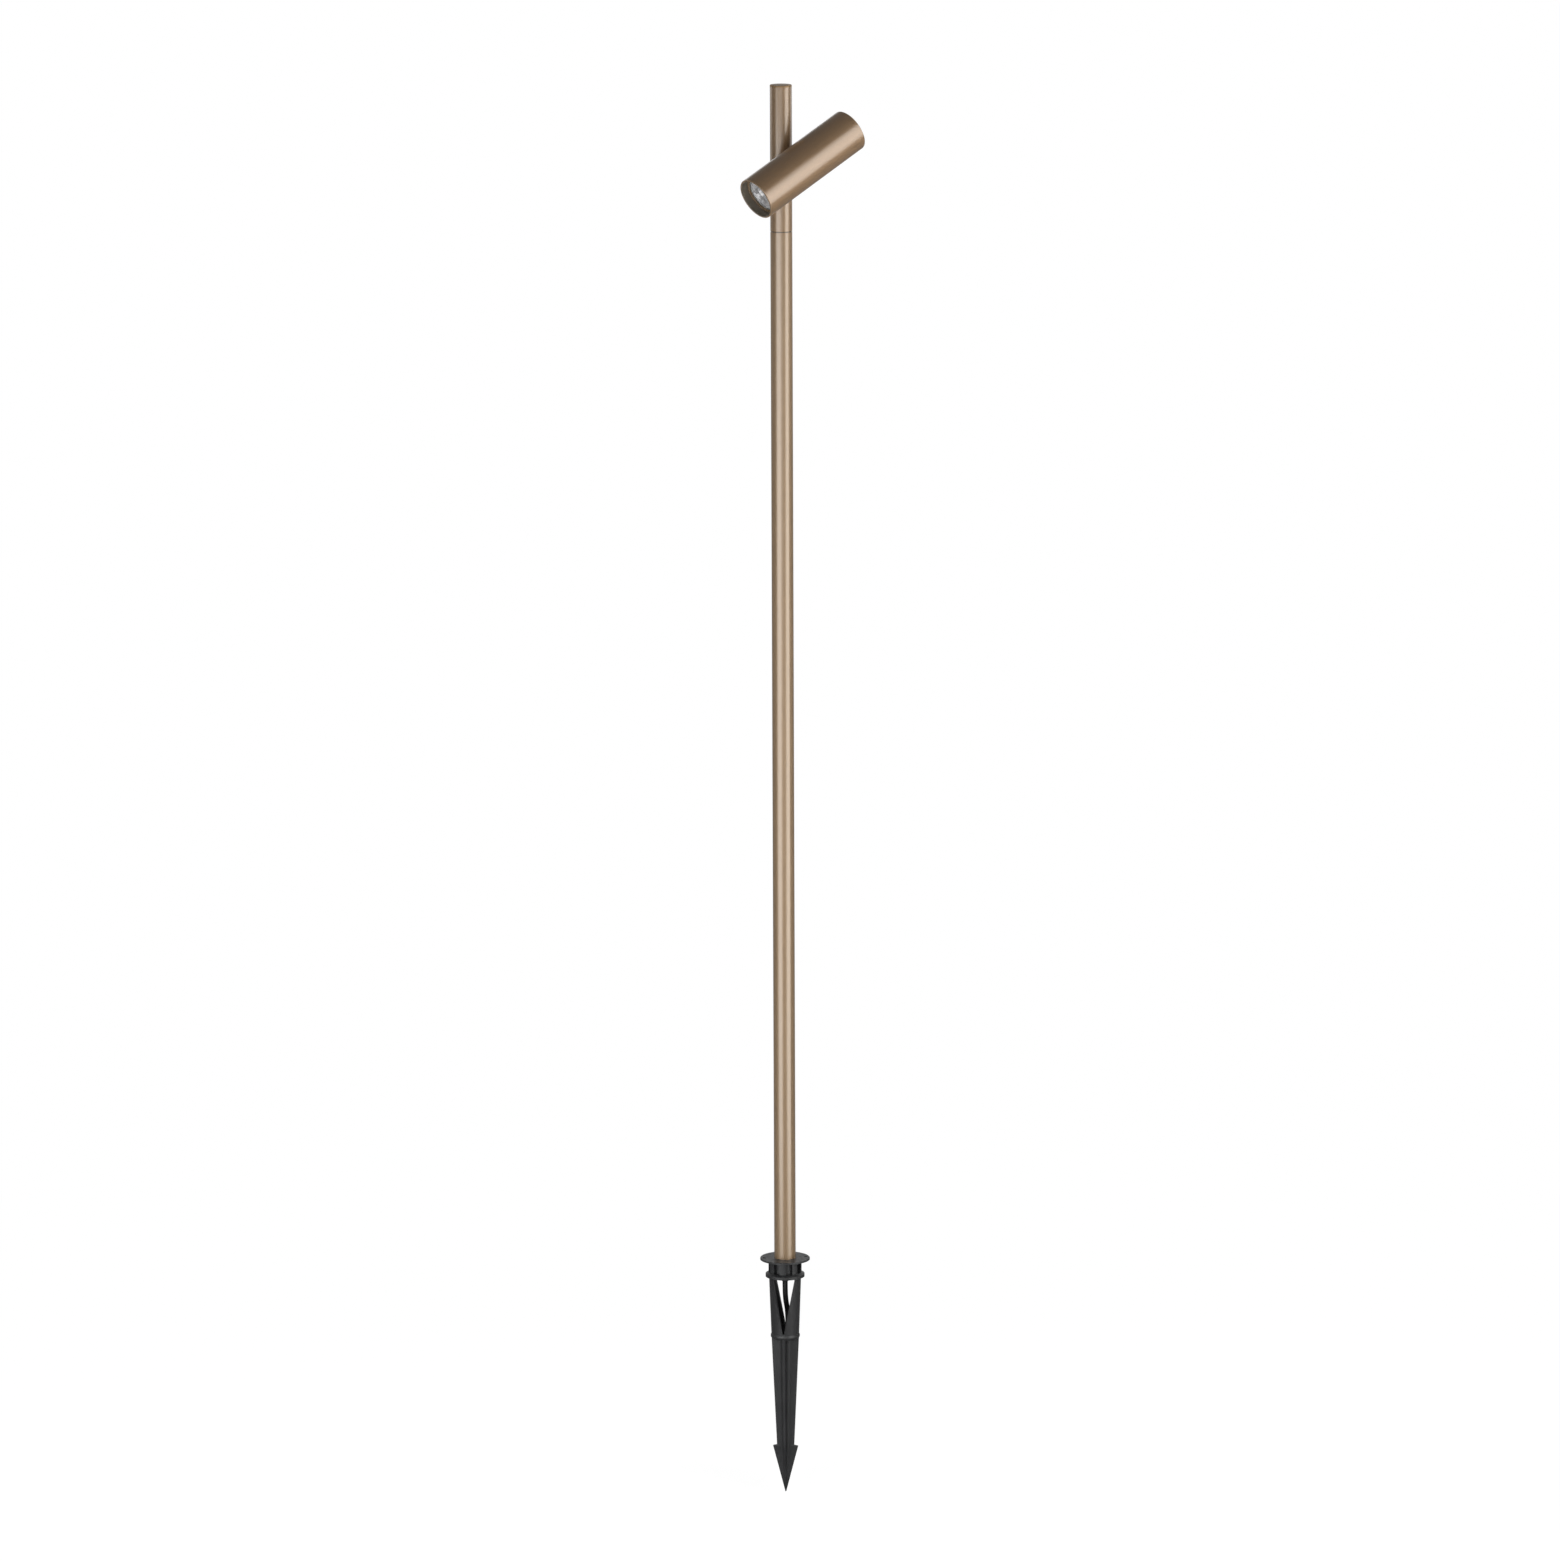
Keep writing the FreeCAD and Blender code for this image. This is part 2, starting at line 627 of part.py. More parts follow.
def glass_seal():
    return on_head(disc(FRONT_BORE_RADIUS - GLUED_GAP, SHOULDER, SEAL_FACE, bore=SEAL_INNER_RADIUS))


def lamp_reflector():
    """Dish with a rim, open at its neck for the capsule."""
    low_rim = LAMP_FACE - LAMP_RIM
    inner_neck = CAPSULE_RADIUS + LOOSE_GAP
    middle = (LAMP_FACE + LAMP_BACK) / 2
    bulge = (LAMP_RADIUS + LAMP_NECK_RADIUS) / 2 + LAMP_WALL
    return on_head(turned(
        (LAMP_RADIUS - LAMP_WALL, LAMP_FACE),
        (LAMP_RADIUS, LAMP_FACE),
        (LAMP_RADIUS, low_rim),
        (LAMP_RADIUS - LAMP_WALL, low_rim),
        ((bulge, middle), (LAMP_NECK_RADIUS, LAMP_BACK)),
        (inner_neck, LAMP_BACK),
        (inner_neck, LAMP_BACK + 2 * LAMP_WALL),
        ((bulge - LAMP_WALL, middle + LAMP_WALL), (LAMP_RADIUS - LAMP_WALL, LAMP_FACE - LAMP_WALL)),
    ))


def lamp_capsule():
    """Small glass capsule with a domed end, on the lamp's axis."""
    dome = LAMP_BACK + CAPSULE_LENGTH - CAPSULE_RADIUS
    side = CAPSULE_RADIUS / math.sqrt(2)
    return on_head(turned(
        (0.0, LAMP_BACK),
        (CAPSULE_RADIUS, LAMP_BACK),
        (CAPSULE_RADIUS, dome),
        ((side, dome + side), (0.0, dome + CAPSULE_RADIUS)),
    ))


def lamp_base():
    """Ceramic foot of the lamp, with its two pins."""
    foot = block(LAMP_BASE_WIDTH, LAMP_BASE_DEPTH, BASE_BACK, LAMP_BACK)
    pin = disc(PIN_RADIUS, BASE_BACK - PIN_LENGTH, BASE_BACK + PIN_LENGTH)
    pins = [moved(pin, x=side * PIN_SPACING / 2) for side in (-1, 1)]
    return on_head(foot.fuse(pins))


def lamp_holder():
    """Ceramic socket for the two pins."""
    socket = disc(HOLDER_RADIUS, HOLDER_BACK, HOLDER_FACE)
    hole = disc(PIN_RADIUS + RUNNING_GAP, HOLDER_FACE - PIN_LENGTH - LOOSE_GAP, HOLDER_FACE)
    return on_head(socket.cut([moved(hole, x=side * PIN_SPACING / 2) for side in (-1, 1)]))


def lamp_carrier():
    """Cup that centres the lamp's rim and holds the socket, with cut-outs for the heat."""
    outer = MAIN_BORE_RADIUS - GLUED_GAP
    inner = outer - CARRIER_WALL
    neck = HOLDER_RADIUS + GLUED_GAP
    front = SHOULDER - LOOSE_GAP
    cup = turned(
        (inner, front),
        (outer, front),
        (outer, HOLDER_BACK),
        (neck, HOLDER_BACK),
        (neck, HOLDER_BACK + CARRIER_BACK),
        (inner, HOLDER_BACK + CARRIER_BACK),
    )
    low, high = HOLDER_BACK + CARRIER_BACK + CARRIER_BAND, front - CARRIER_BAND
    window = Part.makeBox(CARRIER_WINDOW_WIDTH, outer + LOOSE_GAP, high - low,
                          Vector(-CARRIER_WINDOW_WIDTH / 2, 0, low))
    return on_head(cup.cut(around(window, CARRIER_WINDOWS)))


def rear_cap():
    """Screwed into the bore from behind, with a groove for its seal and two spanner holes."""
    outer = MAIN_BORE_RADIUS - GLUED_GAP
    back = -HALF_HEAD + REAR_CAP_INSET
    front = back + REAR_CAP_THICKNESS
    groove = (back + front) / 2
    half = REAR_SEAL_SECTION + GLUED_GAP
    floor = outer - 2 * REAR_SEAL_SECTION
    plug = turned(
        (0.0, back + REAR_CAP_DISH),
        (outer - REAR_CAP_RIM, back + REAR_CAP_DISH),
        (outer - REAR_CAP_RIM, back),
        (outer - EDGE_ROUND, back),
        (outer, back + EDGE_ROUND),
        (outer, groove - half),
        (floor, groove - half),
        (floor, groove + half),
        (outer, groove + half),
        (outer, front),
        (0.0, front),
    )
    hole = moved(disc(SPANNER_HOLE_RADIUS, back, back + REAR_CAP_DISH + SPANNER_HOLE_DEPTH),
                 x=SPANNER_HOLE_CIRCLE)
    return on_head(plug.cut(around(hole, 2)))


def rear_cap_seal():
    """O-ring in the rear cap's groove."""
    middle = -HALF_HEAD + REAR_CAP_INSET + REAR_CAP_THICKNESS / 2
    radius = MAIN_BORE_RADIUS - GLUED_GAP - REAR_SEAL_SECTION
    return on_head(Part.makeTorus(radius, REAR_SEAL_SECTION - GLUED_GAP, Vector(0, 0, middle)))


# Wires

def tube_along(wire, radius):
    """A round solid along a smooth wire."""
    start = wire.OrderedEdges[0]
    point = start.valueAt(start.FirstParameter)
    way = start.tangentAt(start.FirstParameter)
    section = Part.Wire(Part.makeCircle(radius, point, way))
    return wire.makePipeShell([section], True, False)


def bent_core(start, corner, end, bend):
    """Wire path with one square corner rounded by a quarter turn."""
    arrive = (corner - start).normalize()
    leave = (end - corner).normalize()
    first = corner - arrive * bend
    last = corner + leave * bend
    middle = corner + (leave - arrive) * (bend * (1 - math.sqrt(0.5)))
    return Part.Wire([
        Part.LineSegment(start, first).toShape(),
        Part.Arc(first, middle, last).toShape(),
        Part.LineSegment(last, end).toShape(),
    ])


def upper_cores():
    """The two cores, from the riser cable's end to the mouth of the pivot bolt."""
    low = SEAM_Z + SPIGOT_LENGTH + SPIGOT_THREAD + RISER_ABOVE_SPIGOT + LOOSE_GAP
    behind = -POST_BORE / 2
    cores = []
    for side in (-1, 1):
        y = side * CORE_SPACING / 2
        start = Vector(behind, y, low)
        corner = Vector(behind, y, PIVOT_Z)
        end = Vector(BOLT_END - LOOSE_GAP, y, PIVOT_Z)
        cores.append(tube_along(bent_core(start, corner, end, -behind - LOOSE_GAP), CORE_RADIUS))
    return Part.makeCompound(cores)


def head_cores():
    """The two cores, from the bolt's mouth through the head to the lamp holder."""
    cores = []
    for side in (-1, 1):
        y = side * CORE_SPACING / 2
        start = Vector(BOLT_END - HEAD_REACH, y, 0)
        corner = Vector(0, y, 0)
        end = Vector(0, y, HOLDER_BACK)
        path = bent_core(start, corner, end, HOLDER_BACK - LOOSE_GAP)
        cores.append(on_head(tube_along(path, CORE_RADIUS)))
    return Part.makeCompound(cores)


# Free cable, hank and tie

def rounded_route(points):
    """Straight runs joined by tangent arcs, each as large as its two runs allow."""
    edges = []
    radii = []
    here = points[0]
    for before, corner, after in zip(points, points[1:], points[2:]):
        arrive = (corner - before).normalize()
        leave = (after - corner).normalize()
        tangent = ARC_SHARE * min((corner - before).Length, (after - corner).Length)
        half_turn = arrive.getAngle(leave) / 2
        radius = tangent / math.tan(half_turn)
        first = corner - arrive * tangent
        last = corner + leave * tangent
        inward = (leave - arrive).normalize()
        middle = corner + inward * (radius / math.cos(half_turn) - radius)
        edges.append(Part.LineSegment(here, first).toShape())
        edges.append(Part.Arc(first, middle, last).toShape())
        radii.append(radius)
        here = last
    edges.append(Part.LineSegment(here, points[-1]).toShape())
    return Part.Wire(edges), radii


def supply_cable():
    """The free stretch: out of the strain relief, through the rear window and down to the hank."""
    wire, radii = rounded_route([Vector(*point) for point in CABLE_ROUTE])
    tube = tube_along(wire, CABLE_RADIUS)
    print("supply_cable arc radii", [round(r, 1) for r in radii])
    report_tube("supply_cable", tube, wire)
    return on_hank(tube)


def report_tube(name, tube, wire):
    expected = math.pi * CABLE_RADIUS ** 2 * wire.Length
    print(name, "length", round(wire.Length, 1), "volume share", round(tube.Volume / expected, 4))


def sway(start, end):
    """Two equal arcs from one point to another, upright at both ends."""
    rise = Vector(0, 0, end.z - start.z)
    aside = Vector(end.x - start.x, end.y - start.y, 0)
    if aside.Length < SAME:
        return [Part.LineSegment(start, end).toShape()]
    radius = (rise.Length ** 2 + aside.Length ** 2) / (4 * aside.Length)
    quarter = math.atan2(aside.Length, rise.Length)
    up = Vector(rise).normalize() * (radius * math.sin(quarter))
    out = Vector(aside).normalize() * (radius * (1 - math.cos(quarter)))
    centre = (start + end) / 2
    return [
        Part.Arc(start, start + up + out, centre).toShape(),
        Part.Arc(centre, end - up - out, end).toShape(),
    ]


def hank_runs():
    """Each run of the hank: distance from the middle at the folds and at the waist, and its layers.

    Near runs come down and far runs go up. The loops spiral in on one layer, climb to the
    other along the innermost run, and spiral out again.
    """
    distances = [HANK_OUTER - HANK_STEP * k for k in range(4)]
    inward = [-distances[0], distances[1], -distances[2], distances[3]]
    order = inward + inward[-2::-1]
    low, high = -HANK_LAYERS / 2, HANK_LAYERS / 2
    climb = len(inward) - 1
    runs = []
    for k, distance in enumerate(order):
        waist = distance - math.copysign(HANK_DRAW_IN, distance)
        first = low if k <= climb else high
        last = low if k < climb else high
        runs.append((distance, waist, first, last))
    return runs


def hank_wire():
    """Centre line of the hank, in the hank's plane: X behind the post, Y across, Z up."""
    start = Vector(*CABLE_ROUTE[-1])
    lead = 2 * CABLE_RADIUS
    high = start.z - lead
    low = high - HANK_RUN
    edges = [Part.LineSegment(start, Vector(start.x, start.y, high)).toShape()]
    runs = hank_runs()
    for k, (distance, waist, first, last) in enumerate(runs):
        begin, end = (high, low) if k % 2 == 0 else (low, high)
        top = Vector(HANK_MIDDLE + distance, first, begin)
        middle = Vector(HANK_MIDDLE + waist, (first + last) / 2, (begin + end) / 2)
        foot = Vector(HANK_MIDDLE + distance, last, end)
        edges += sway(top, middle) + sway(middle, foot)
        if k + 1 < len(runs):
            following = Vector(HANK_MIDDLE + runs[k + 1][0], last, end)
            radius = (following - foot).Length / 2
            crown = (foot + following) / 2 + Vector(0, 0, math.copysign(radius, end - begin))
            edges.append(Part.Arc(foot, crown, following).toShape())
    edges.append(Part.LineSegment(foot, foot - Vector(0, 0, lead)).toShape())
    return Part.Wire(edges)


def least_self_gap(wire):
    """Least clear distance between stretches of the tube that aren't neighbours along it."""
    points = wire.discretize(Distance=GAP_CHECK_STEP)
    reach = math.ceil(6 * CABLE_RADIUS / GAP_CHECK_STEP)
    least = min((points[i] - points[j]).Length
                for i in range(len(points)) for j in range(i + reach, len(points)))
    return least - 2 * CABLE_RADIUS


def cable_hank():
    """The rest of the supply cable, folded as a hank in line with the spike."""
    wire = hank_wire()
    tube = tube_along(wire, CABLE_RADIUS)
    report_tube("cable_hank", tube, wire)
    print("cable_hank least gap to itself", round(least_self_gap(wire), 2))
    return on_hank(tube)


def hank_tie():
    """Nylon tie round the hank's waist, with its lock."""
    waists = [run[1] for run in hank_runs()]
    low = HANK_MIDDLE + min(waists) - CABLE_RADIUS - LOOSE_GAP
    high = HANK_MIDDLE + max(waists) + CABLE_RADIUS + LOOSE_GAP
    half = HANK_LAYERS / 2 + CABLE_RADIUS + LOOSE_GAP
    level = CABLE_ROUTE[-1][2] - 2 * CABLE_RADIUS - HANK_RUN / 2 - TIE_WIDTH / 2
    band = Part.makeBox(high - low + 2 * TIE_THICKNESS, 2 * (half + TIE_THICKNESS), TIE_WIDTH,
                        Vector(low - TIE_THICKNESS, -half - TIE_THICKNESS, level))
    band = band.makeFillet(CABLE_RADIUS + TIE_THICKNESS, upright_edges(band))
    space = Part.makeBox(high - low, 2 * half, TIE_WIDTH, Vector(low, -half, level))
    space = space.makeFillet(CABLE_RADIUS, upright_edges(space))
    lock = Part.makeBox(*TIE_LOCK, Vector(high + TIE_THICKNESS / 2, -TIE_LOCK[1] / 2,
                                          level + (TIE_WIDTH - TIE_LOCK[2]) / 2))
    return on_hank(band.fuse(lock).cut(space))


def upright_edges(solid):
    return [e for e in solid.Edges if abs(e.tangentAt(e.FirstParameter).z) > 1 - SAME]


def cable_ends():
    """The two cores at the cable's far end, stripped at their tips."""
    wire = hank_wire()
    last = wire.OrderedEdges[-1]
    foot = last.valueAt(last.LastParameter)
    cores = []
    for side in (-1, 1):
        core = turned(
            (0.0, 0.0),
            (CORE_RADIUS, 0.0),
            (CORE_RADIUS, -CORE_TAIL),
            (STRIPPED_RADIUS, -CORE_TAIL),
            (STRIPPED_RADIUS, -CORE_TAIL - CORE_STRIPPED),
            (0.0, -CORE_TAIL - CORE_STRIPPED),
        )
        cores.append(on_hank(moved(core, foot.x + side * CORE_SPACING / 2, foot.y, foot.z)))
    return Part.makeCompound(cores)


PIECES = [
    ground_spike, lower_post, foot_plug, strain_relief, riser_cable,
    swivel_spigot, seam_washer, wave_washer, swivel_nut,
    upper_post, top_cap, swivel_bush, upper_cores,
    post_saddle, pivot_washer, inner_saddle,
    head_saddle, pivot_bolt, disc_spring, pivot_nut,
    head_housing, rear_cap, rear_cap_seal, front_ring, front_glass, glass_seal,
    lamp_reflector, lamp_capsule, lamp_base, lamp_holder, lamp_carrier, head_cores,
    supply_cable, cable_hank, hank_tie, cable_ends,
]

os.makedirs("parts", exist_ok=True)
for piece in PIECES:
    shape = piece()
    print(piece.__name__, shape.ShapeType, "solids", len(shape.Solids), "valid", shape.isValid(),
          "volume", round(shape.Volume, 1))
    export(piece.__name__, shape)
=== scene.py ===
import math

import bmesh
import bpy
from mathutils import Matrix, Vector


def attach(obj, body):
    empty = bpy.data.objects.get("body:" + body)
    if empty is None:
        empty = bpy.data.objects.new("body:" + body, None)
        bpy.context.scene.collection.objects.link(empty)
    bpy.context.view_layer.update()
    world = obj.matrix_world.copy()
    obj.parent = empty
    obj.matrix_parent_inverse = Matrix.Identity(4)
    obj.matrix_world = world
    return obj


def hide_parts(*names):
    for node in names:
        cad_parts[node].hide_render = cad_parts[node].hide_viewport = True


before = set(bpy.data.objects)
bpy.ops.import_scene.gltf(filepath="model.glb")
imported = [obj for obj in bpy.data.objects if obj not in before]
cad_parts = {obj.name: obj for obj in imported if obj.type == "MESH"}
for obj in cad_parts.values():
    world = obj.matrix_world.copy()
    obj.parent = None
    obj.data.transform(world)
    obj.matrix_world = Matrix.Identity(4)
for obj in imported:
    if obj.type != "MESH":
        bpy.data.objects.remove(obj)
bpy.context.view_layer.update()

# Garden spike spotlight: looks. Metres, +Z up, the CAD's frame.

MM = 0.001
UP = Vector((0.0, 0.0, 1.0))

# Camera: f in pixels of the 1560 wide photograph
IMAGE_WIDTH = 1560
SENSOR = 36.0
FOCAL_PIXELS = 8000.0
CAMERA_AZIMUTH = math.radians(53.0)
CAMERA_DISTANCE = 7.9744
CAMERA_HEIGHT = 2.0196
CAMERA_PITCH = math.radians(10.79)
CAMERA_YAW = 3.35 / FOCAL_PIXELS
CAMERA_ROLL = math.radians(-0.212)
CAMERA_CLIP = 100.0
TO_CAMERA = Vector((math.sin(CAMERA_AZIMUTH), -math.cos(CAMERA_AZIMUTH), 0.0))
IMAGE_RIGHT = Vector((math.cos(CAMERA_AZIMUTH), math.sin(CAMERA_AZIMUTH), 0.0))

# Sizes of the CAD that the pieces here follow
CABLE_DIAMETER = 5.4 * MM
HANK_TURN = math.radians(143.0)
HANK_MIDDLE = 45.0 * MM     # behind the post
HANK_RUN = 84.0 * MM        # length of a run between its folds
HANK_STEP = 3.3 * MM        # from one run inwards to the next, on the other side
HANK_OUTER = 24.9 * MM      # from the hank's middle to its outermost run
HANK_DRAW_IN = 10.0 * MM    # how far the tie draws each run in
HANK_LAYERS = 5.9 * MM      # between the middles of the two layers
HANK_RUNS = 4               # runs on each layer, the middle one shared
TIE_WIDTH = 4.5 * MM
TIE_THICKNESS = 1.2 * MM
TIE_GAP = 0.3 * MM
TIE_LOCK = Vector((4.0, 6.0, 5.5)) * MM
CORE_RADIUS = 0.9 * MM
CORE_SPACING = 2.2 * MM
CORE_TAIL = 14.0 * MM
CORE_STRIPPED = 8.0 * MM
SPIKE_TIP = -247.0 * MM
HEAD_TILT = math.radians(27.3)
HEAD_TURN = math.pi / 2 + HEAD_TILT     # about X, from the head's own frame to the shared one
PIVOT = Vector((36.0, 0.0, 1130.0)) * MM
BORE_PAINT = 20.6 * MM      # the head's paint ends within this distance of its axis
LAMP_FACE = 54.3 * MM       # lamp heights are along the head's axis, from the pivot
LAMP_BACK = 34.3 * MM
LAMP_RADIUS = 17.5 * MM
LAMP_RIM = 2.4 * MM
LAMP_WALL = 1.2 * MM
LAMP_NECK = 7.5 * MM
CAPSULE_RADIUS = 3.4 * MM
CAPSULE_TOP = 47.3 * MM

# The cable's free route in its own plane, in millimetres: behind the post, across, up
CABLE_ROUTE = [
    (0.0, 0.0, -23.0),
    (0.0, 0.0, -31.8),
    (2.4, -0.35, -40.3),
    (7.1, -1.0, -47.7),
    (13.4, -1.9, -53.8),
    (17.8, -2.5, -61.5),
    (20.3, -2.9, -70.0),
    (21.4, -3.1, -81.0),
    (21.0, -3.0, -91.5),
    (20.1, -2.95, -101.5),
    (20.1, -2.95, -110.0),
]

scene = bpy.context.scene
scene.view_settings.view_transform = "Standard"


# Camera

def make_camera():
    data = bpy.data.cameras.new("camera")
    data.sensor_fit = "HORIZONTAL"
    data.sensor_width = SENSOR
    data.lens = FOCAL_PIXELS * SENSOR / IMAGE_WIDTH
    data.clip_end = CAMERA_CLIP
    camera = bpy.data.objects.new("camera", data)
    scene.collection.objects.link(camera)
    level = -TO_CAMERA * math.cos(CAMERA_YAW) - IMAGE_RIGHT * math.sin(CAMERA_YAW)
    right = IMAGE_RIGHT * math.cos(CAMERA_YAW) - TO_CAMERA * math.sin(CAMERA_YAW)
    forward = level * math.cos(CAMERA_PITCH) - UP * math.sin(CAMERA_PITCH)
    up = right.cross(forward)
    rolled_right = right * math.cos(CAMERA_ROLL) + up * math.sin(CAMERA_ROLL)
    rolled_up = up * math.cos(CAMERA_ROLL) - right * math.sin(CAMERA_ROLL)
    turn = Matrix((rolled_right, rolled_up, -forward)).transposed().to_4x4()
    place = TO_CAMERA * CAMERA_DISTANCE + UP * CAMERA_HEIGHT
    camera.matrix_world = Matrix.Translation(place) @ turn
    scene.camera = camera


make_camera()


# Free cable and its hank, as one curve

def on_hank(point):
    """From the hank's plane, X behind the post and Z up, to the frame."""
    x, y, z = point
    return Vector((x * math.cos(HANK_TURN) - y * math.sin(HANK_TURN),
                   x * math.sin(HANK_TURN) + y * math.cos(HANK_TURN), z))


def hank_distances():
    """Each run's distance from the hank's middle at the folds: spiralling in, then out again."""
    inward = [(HANK_OUTER - HANK_STEP * k) * (1 if k % 2 else -1) for k in range(HANK_RUNS)]
    return inward + inward[-2::-1]


def hank_waist(distance):
    """The same run's distance at the tie, which draws the hank in."""
    return distance - math.copysign(HANK_DRAW_IN, distance)


def hank_points(high):
    """The hank's own control points: four for each run, and four outside each fold's half circle.

    A run leans in and out again on even bends, so that it leaves one fold and meets the next upright.
    """
    runs = hank_distances()
    low = high - HANK_RUN
    middle = (high + low) / 2
    half = HANK_RUN / 2
    lean = (half ** 2 + HANK_DRAW_IN ** 2) / (4 * half)
    climb = HANK_RUNS - 1
    points = []
    for k, distance in enumerate(runs):
        begin, end, sign = (low, high, 1) if k % 2 else (high, low, -1)
        first = -HANK_LAYERS / 2 if k <= climb else HANK_LAYERS / 2
        last = -HANK_LAYERS / 2 if k < climb else HANK_LAYERS / 2
        across = (first + last) / 2
        x_far, x_near = HANK_MIDDLE + distance, HANK_MIDDLE + hank_waist(distance)
        points += [
            (x_far, first, begin + sign * lean),
            (x_near, across, middle - sign * lean),
            (x_near, across, middle + sign * lean),
            (x_far, last, end - sign * lean),
        ]
        if k + 1 < len(runs):
            following = HANK_MIDDLE + runs[k + 1]
            centre, radius = (x_far + following) / 2, abs(x_far - following) / 2
            side = math.copysign(1, x_far - centre)
            eighth = math.pi / 8
            reach = radius / math.cos(eighth)
            for turn in (1, 3, 5, 7):
                angle = turn * eighth
                points.append((centre + side * reach * math.cos(angle), last,
                               end + sign * reach * math.sin(angle)))
    points.append((points[-1][0], points[-1][1], low - 2 * CABLE_DIAMETER))
    return points


def nurbs_tubes(name, lines, radius, sides=8, steps=10):
    """Round tubes as quadratic NURBS curves, one for each list of control points."""
    data = bpy.data.curves.new(name, "CURVE")
    data.dimensions = "3D"
    data.bevel_depth = 1.0
    data.bevel_resolution = sides
    data.resolution_u = steps
    data.use_fill_caps = True
    for points in lines:
        spline = data.splines.new("NURBS")
        spline.points.add(len(points) - 1)
        for control, point in zip(spline.points, points):
            control.co = (*point, 1.0)
            control.radius = radius
        spline.order_u = 3
        spline.use_endpoint_u = True
    piece = bpy.data.objects.new(name, data)
    scene.collection.objects.link(piece)
    return piece


route = [Vector(point) * MM for point in CABLE_ROUTE]
hank_high = route[-1].z - CABLE_DIAMETER
hank_line = [Vector(point) for point in hank_points(hank_high)]
cable = nurbs_tubes("supply_cable_line", [[on_hank(point) for point in route + hank_line]],
                    CABLE_DIAMETER / 2)
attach(cable, "stake")
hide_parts("supply_cable", "cable_hank")


# Materials

class Tree:
    """Short forms for building a node tree."""

    def __init__(self, owner, output):
        owner.use_nodes = True
        self.tree = owner.node_tree
        self.tree.nodes.clear()
        self.output = self.add(output)

    def add(self, kind, **settings):
        node = self.tree.nodes.new(kind)
        for key, value in settings.items():
            setattr(node, key, value)
        return node

    def link(self, source, target):
        self.tree.links.new(source, target)

    def spread(self, factor, low, high, start=0.3, end=0.7):
        """A value from low to high as the factor goes from start to end."""
        node = self.add("ShaderNodeMapRange")
        for key, value in (("From Min", start), ("From Max", end), ("To Min", low), ("To Max", high)):
            node.inputs[key].default_value = value
        self.link(factor, node.inputs["Value"])
        return node.outputs["Result"]

    def combined(self, operation, first, second):
        node = self.add("ShaderNodeMath", operation=operation)
        self.link(first, node.inputs[0])
        self.link(second, node.inputs[1])
        return node.outputs[0]


class Nodes(Tree):
    """A material's node tree, with object coordinates as its place."""

    def __init__(self, name):
        self.material = bpy.data.materials.new(name)
        super().__init__(self.material, "ShaderNodeOutputMaterial")
        self.place = self.add("ShaderNodeTexCoord").outputs["Object"]

    def principled(self, **sockets):
        shader = self.add("ShaderNodeBsdfPrincipled")
        for key, value in sockets.items():
            shader.inputs[key.replace("_", " ")].default_value = value
        self.link(shader.outputs["BSDF"], self.output.inputs["Surface"])
        return shader

    def stretched(self, scale, turn=0.0):
        """Object coordinates turned about X, then scaled along each axis."""
        turned = self.add("ShaderNodeMapping")
        turned.inputs["Rotation"].default_value = (turn, 0.0, 0.0)
        scaled = self.add("ShaderNodeMapping")
        scaled.inputs["Scale"].default_value = scale
        self.link(self.place, turned.inputs["Vector"])
        self.link(turned.outputs["Vector"], scaled.inputs["Vector"])
        return scaled.outputs["Vector"]

    def axis_distance(self):
        """Distance from the head's axis."""
        turn = Matrix.Rotation(-HEAD_TURN, 3, "X")
        upright = self.add("ShaderNodeMapping")
        upright.inputs["Rotation"].default_value = turn.to_euler()
        upright.inputs["Location"].default_value = -(turn @ PIVOT)
        flat = self.add("ShaderNodeVectorMath", operation="MULTIPLY")
        flat.inputs[1].default_value = (1.0, 1.0, 0.0)
        length = self.add("ShaderNodeVectorMath", operation="LENGTH")
        self.link(self.place, upright.inputs["Vector"])
        self.link(upright.outputs["Vector"], flat.inputs[0])
        self.link(flat.outputs["Vector"], length.inputs[0])
        return length.outputs["Value"]

    def noise(self, scale, detail=2.0, roughness=0.5, source=None):
        noise = self.add("ShaderNodeTexNoise")
        noise.inputs["Scale"].default_value = scale
        noise.inputs["Detail"].default_value = detail
        noise.inputs["Roughness"].default_value = roughness
        self.link(source or self.place, noise.inputs["Vector"])
        return noise.outputs["Fac"]

    def ramp(self, factor, *stops):
        """A colour ramp from (position, colour) stops."""
        ramp = self.add("ShaderNodeValToRGB")
        while len(ramp.color_ramp.elements) < len(stops):
            ramp.color_ramp.elements.new(0.5)
        for element, (position, colour) in zip(ramp.color_ramp.elements, stops):
            element.position = position
            element.color = (*colour, 1.0)
        self.link(factor, ramp.inputs["Fac"])
        return ramp.outputs["Color"]

    def mixed(self, factor, first, second, blend="MIX"):
        """Two colours mixed; the factor is a number or a socket."""
        node = self.add("ShaderNodeMix", data_type="RGBA", blend_type=blend)
        if isinstance(factor, float):
            node.inputs["Factor"].default_value = factor
        else:
            self.link(factor, node.inputs["Factor"])
        self.link(first, node.inputs["A"])
        self.link(second, node.inputs["B"])
        return node.outputs["Result"]

    def bump(self, height, depth, strength, under=None):
        """A bumped normal, its depth in millimetres, over another normal where one is given."""
        node = self.add("ShaderNodeBump")
        node.inputs["Strength"].default_value = strength
        node.inputs["Distance"].default_value = depth * MM
        self.link(height, node.inputs["Height"])
        if under:
            self.link(under, node.inputs["Normal"])
        return node.outputs["Normal"]


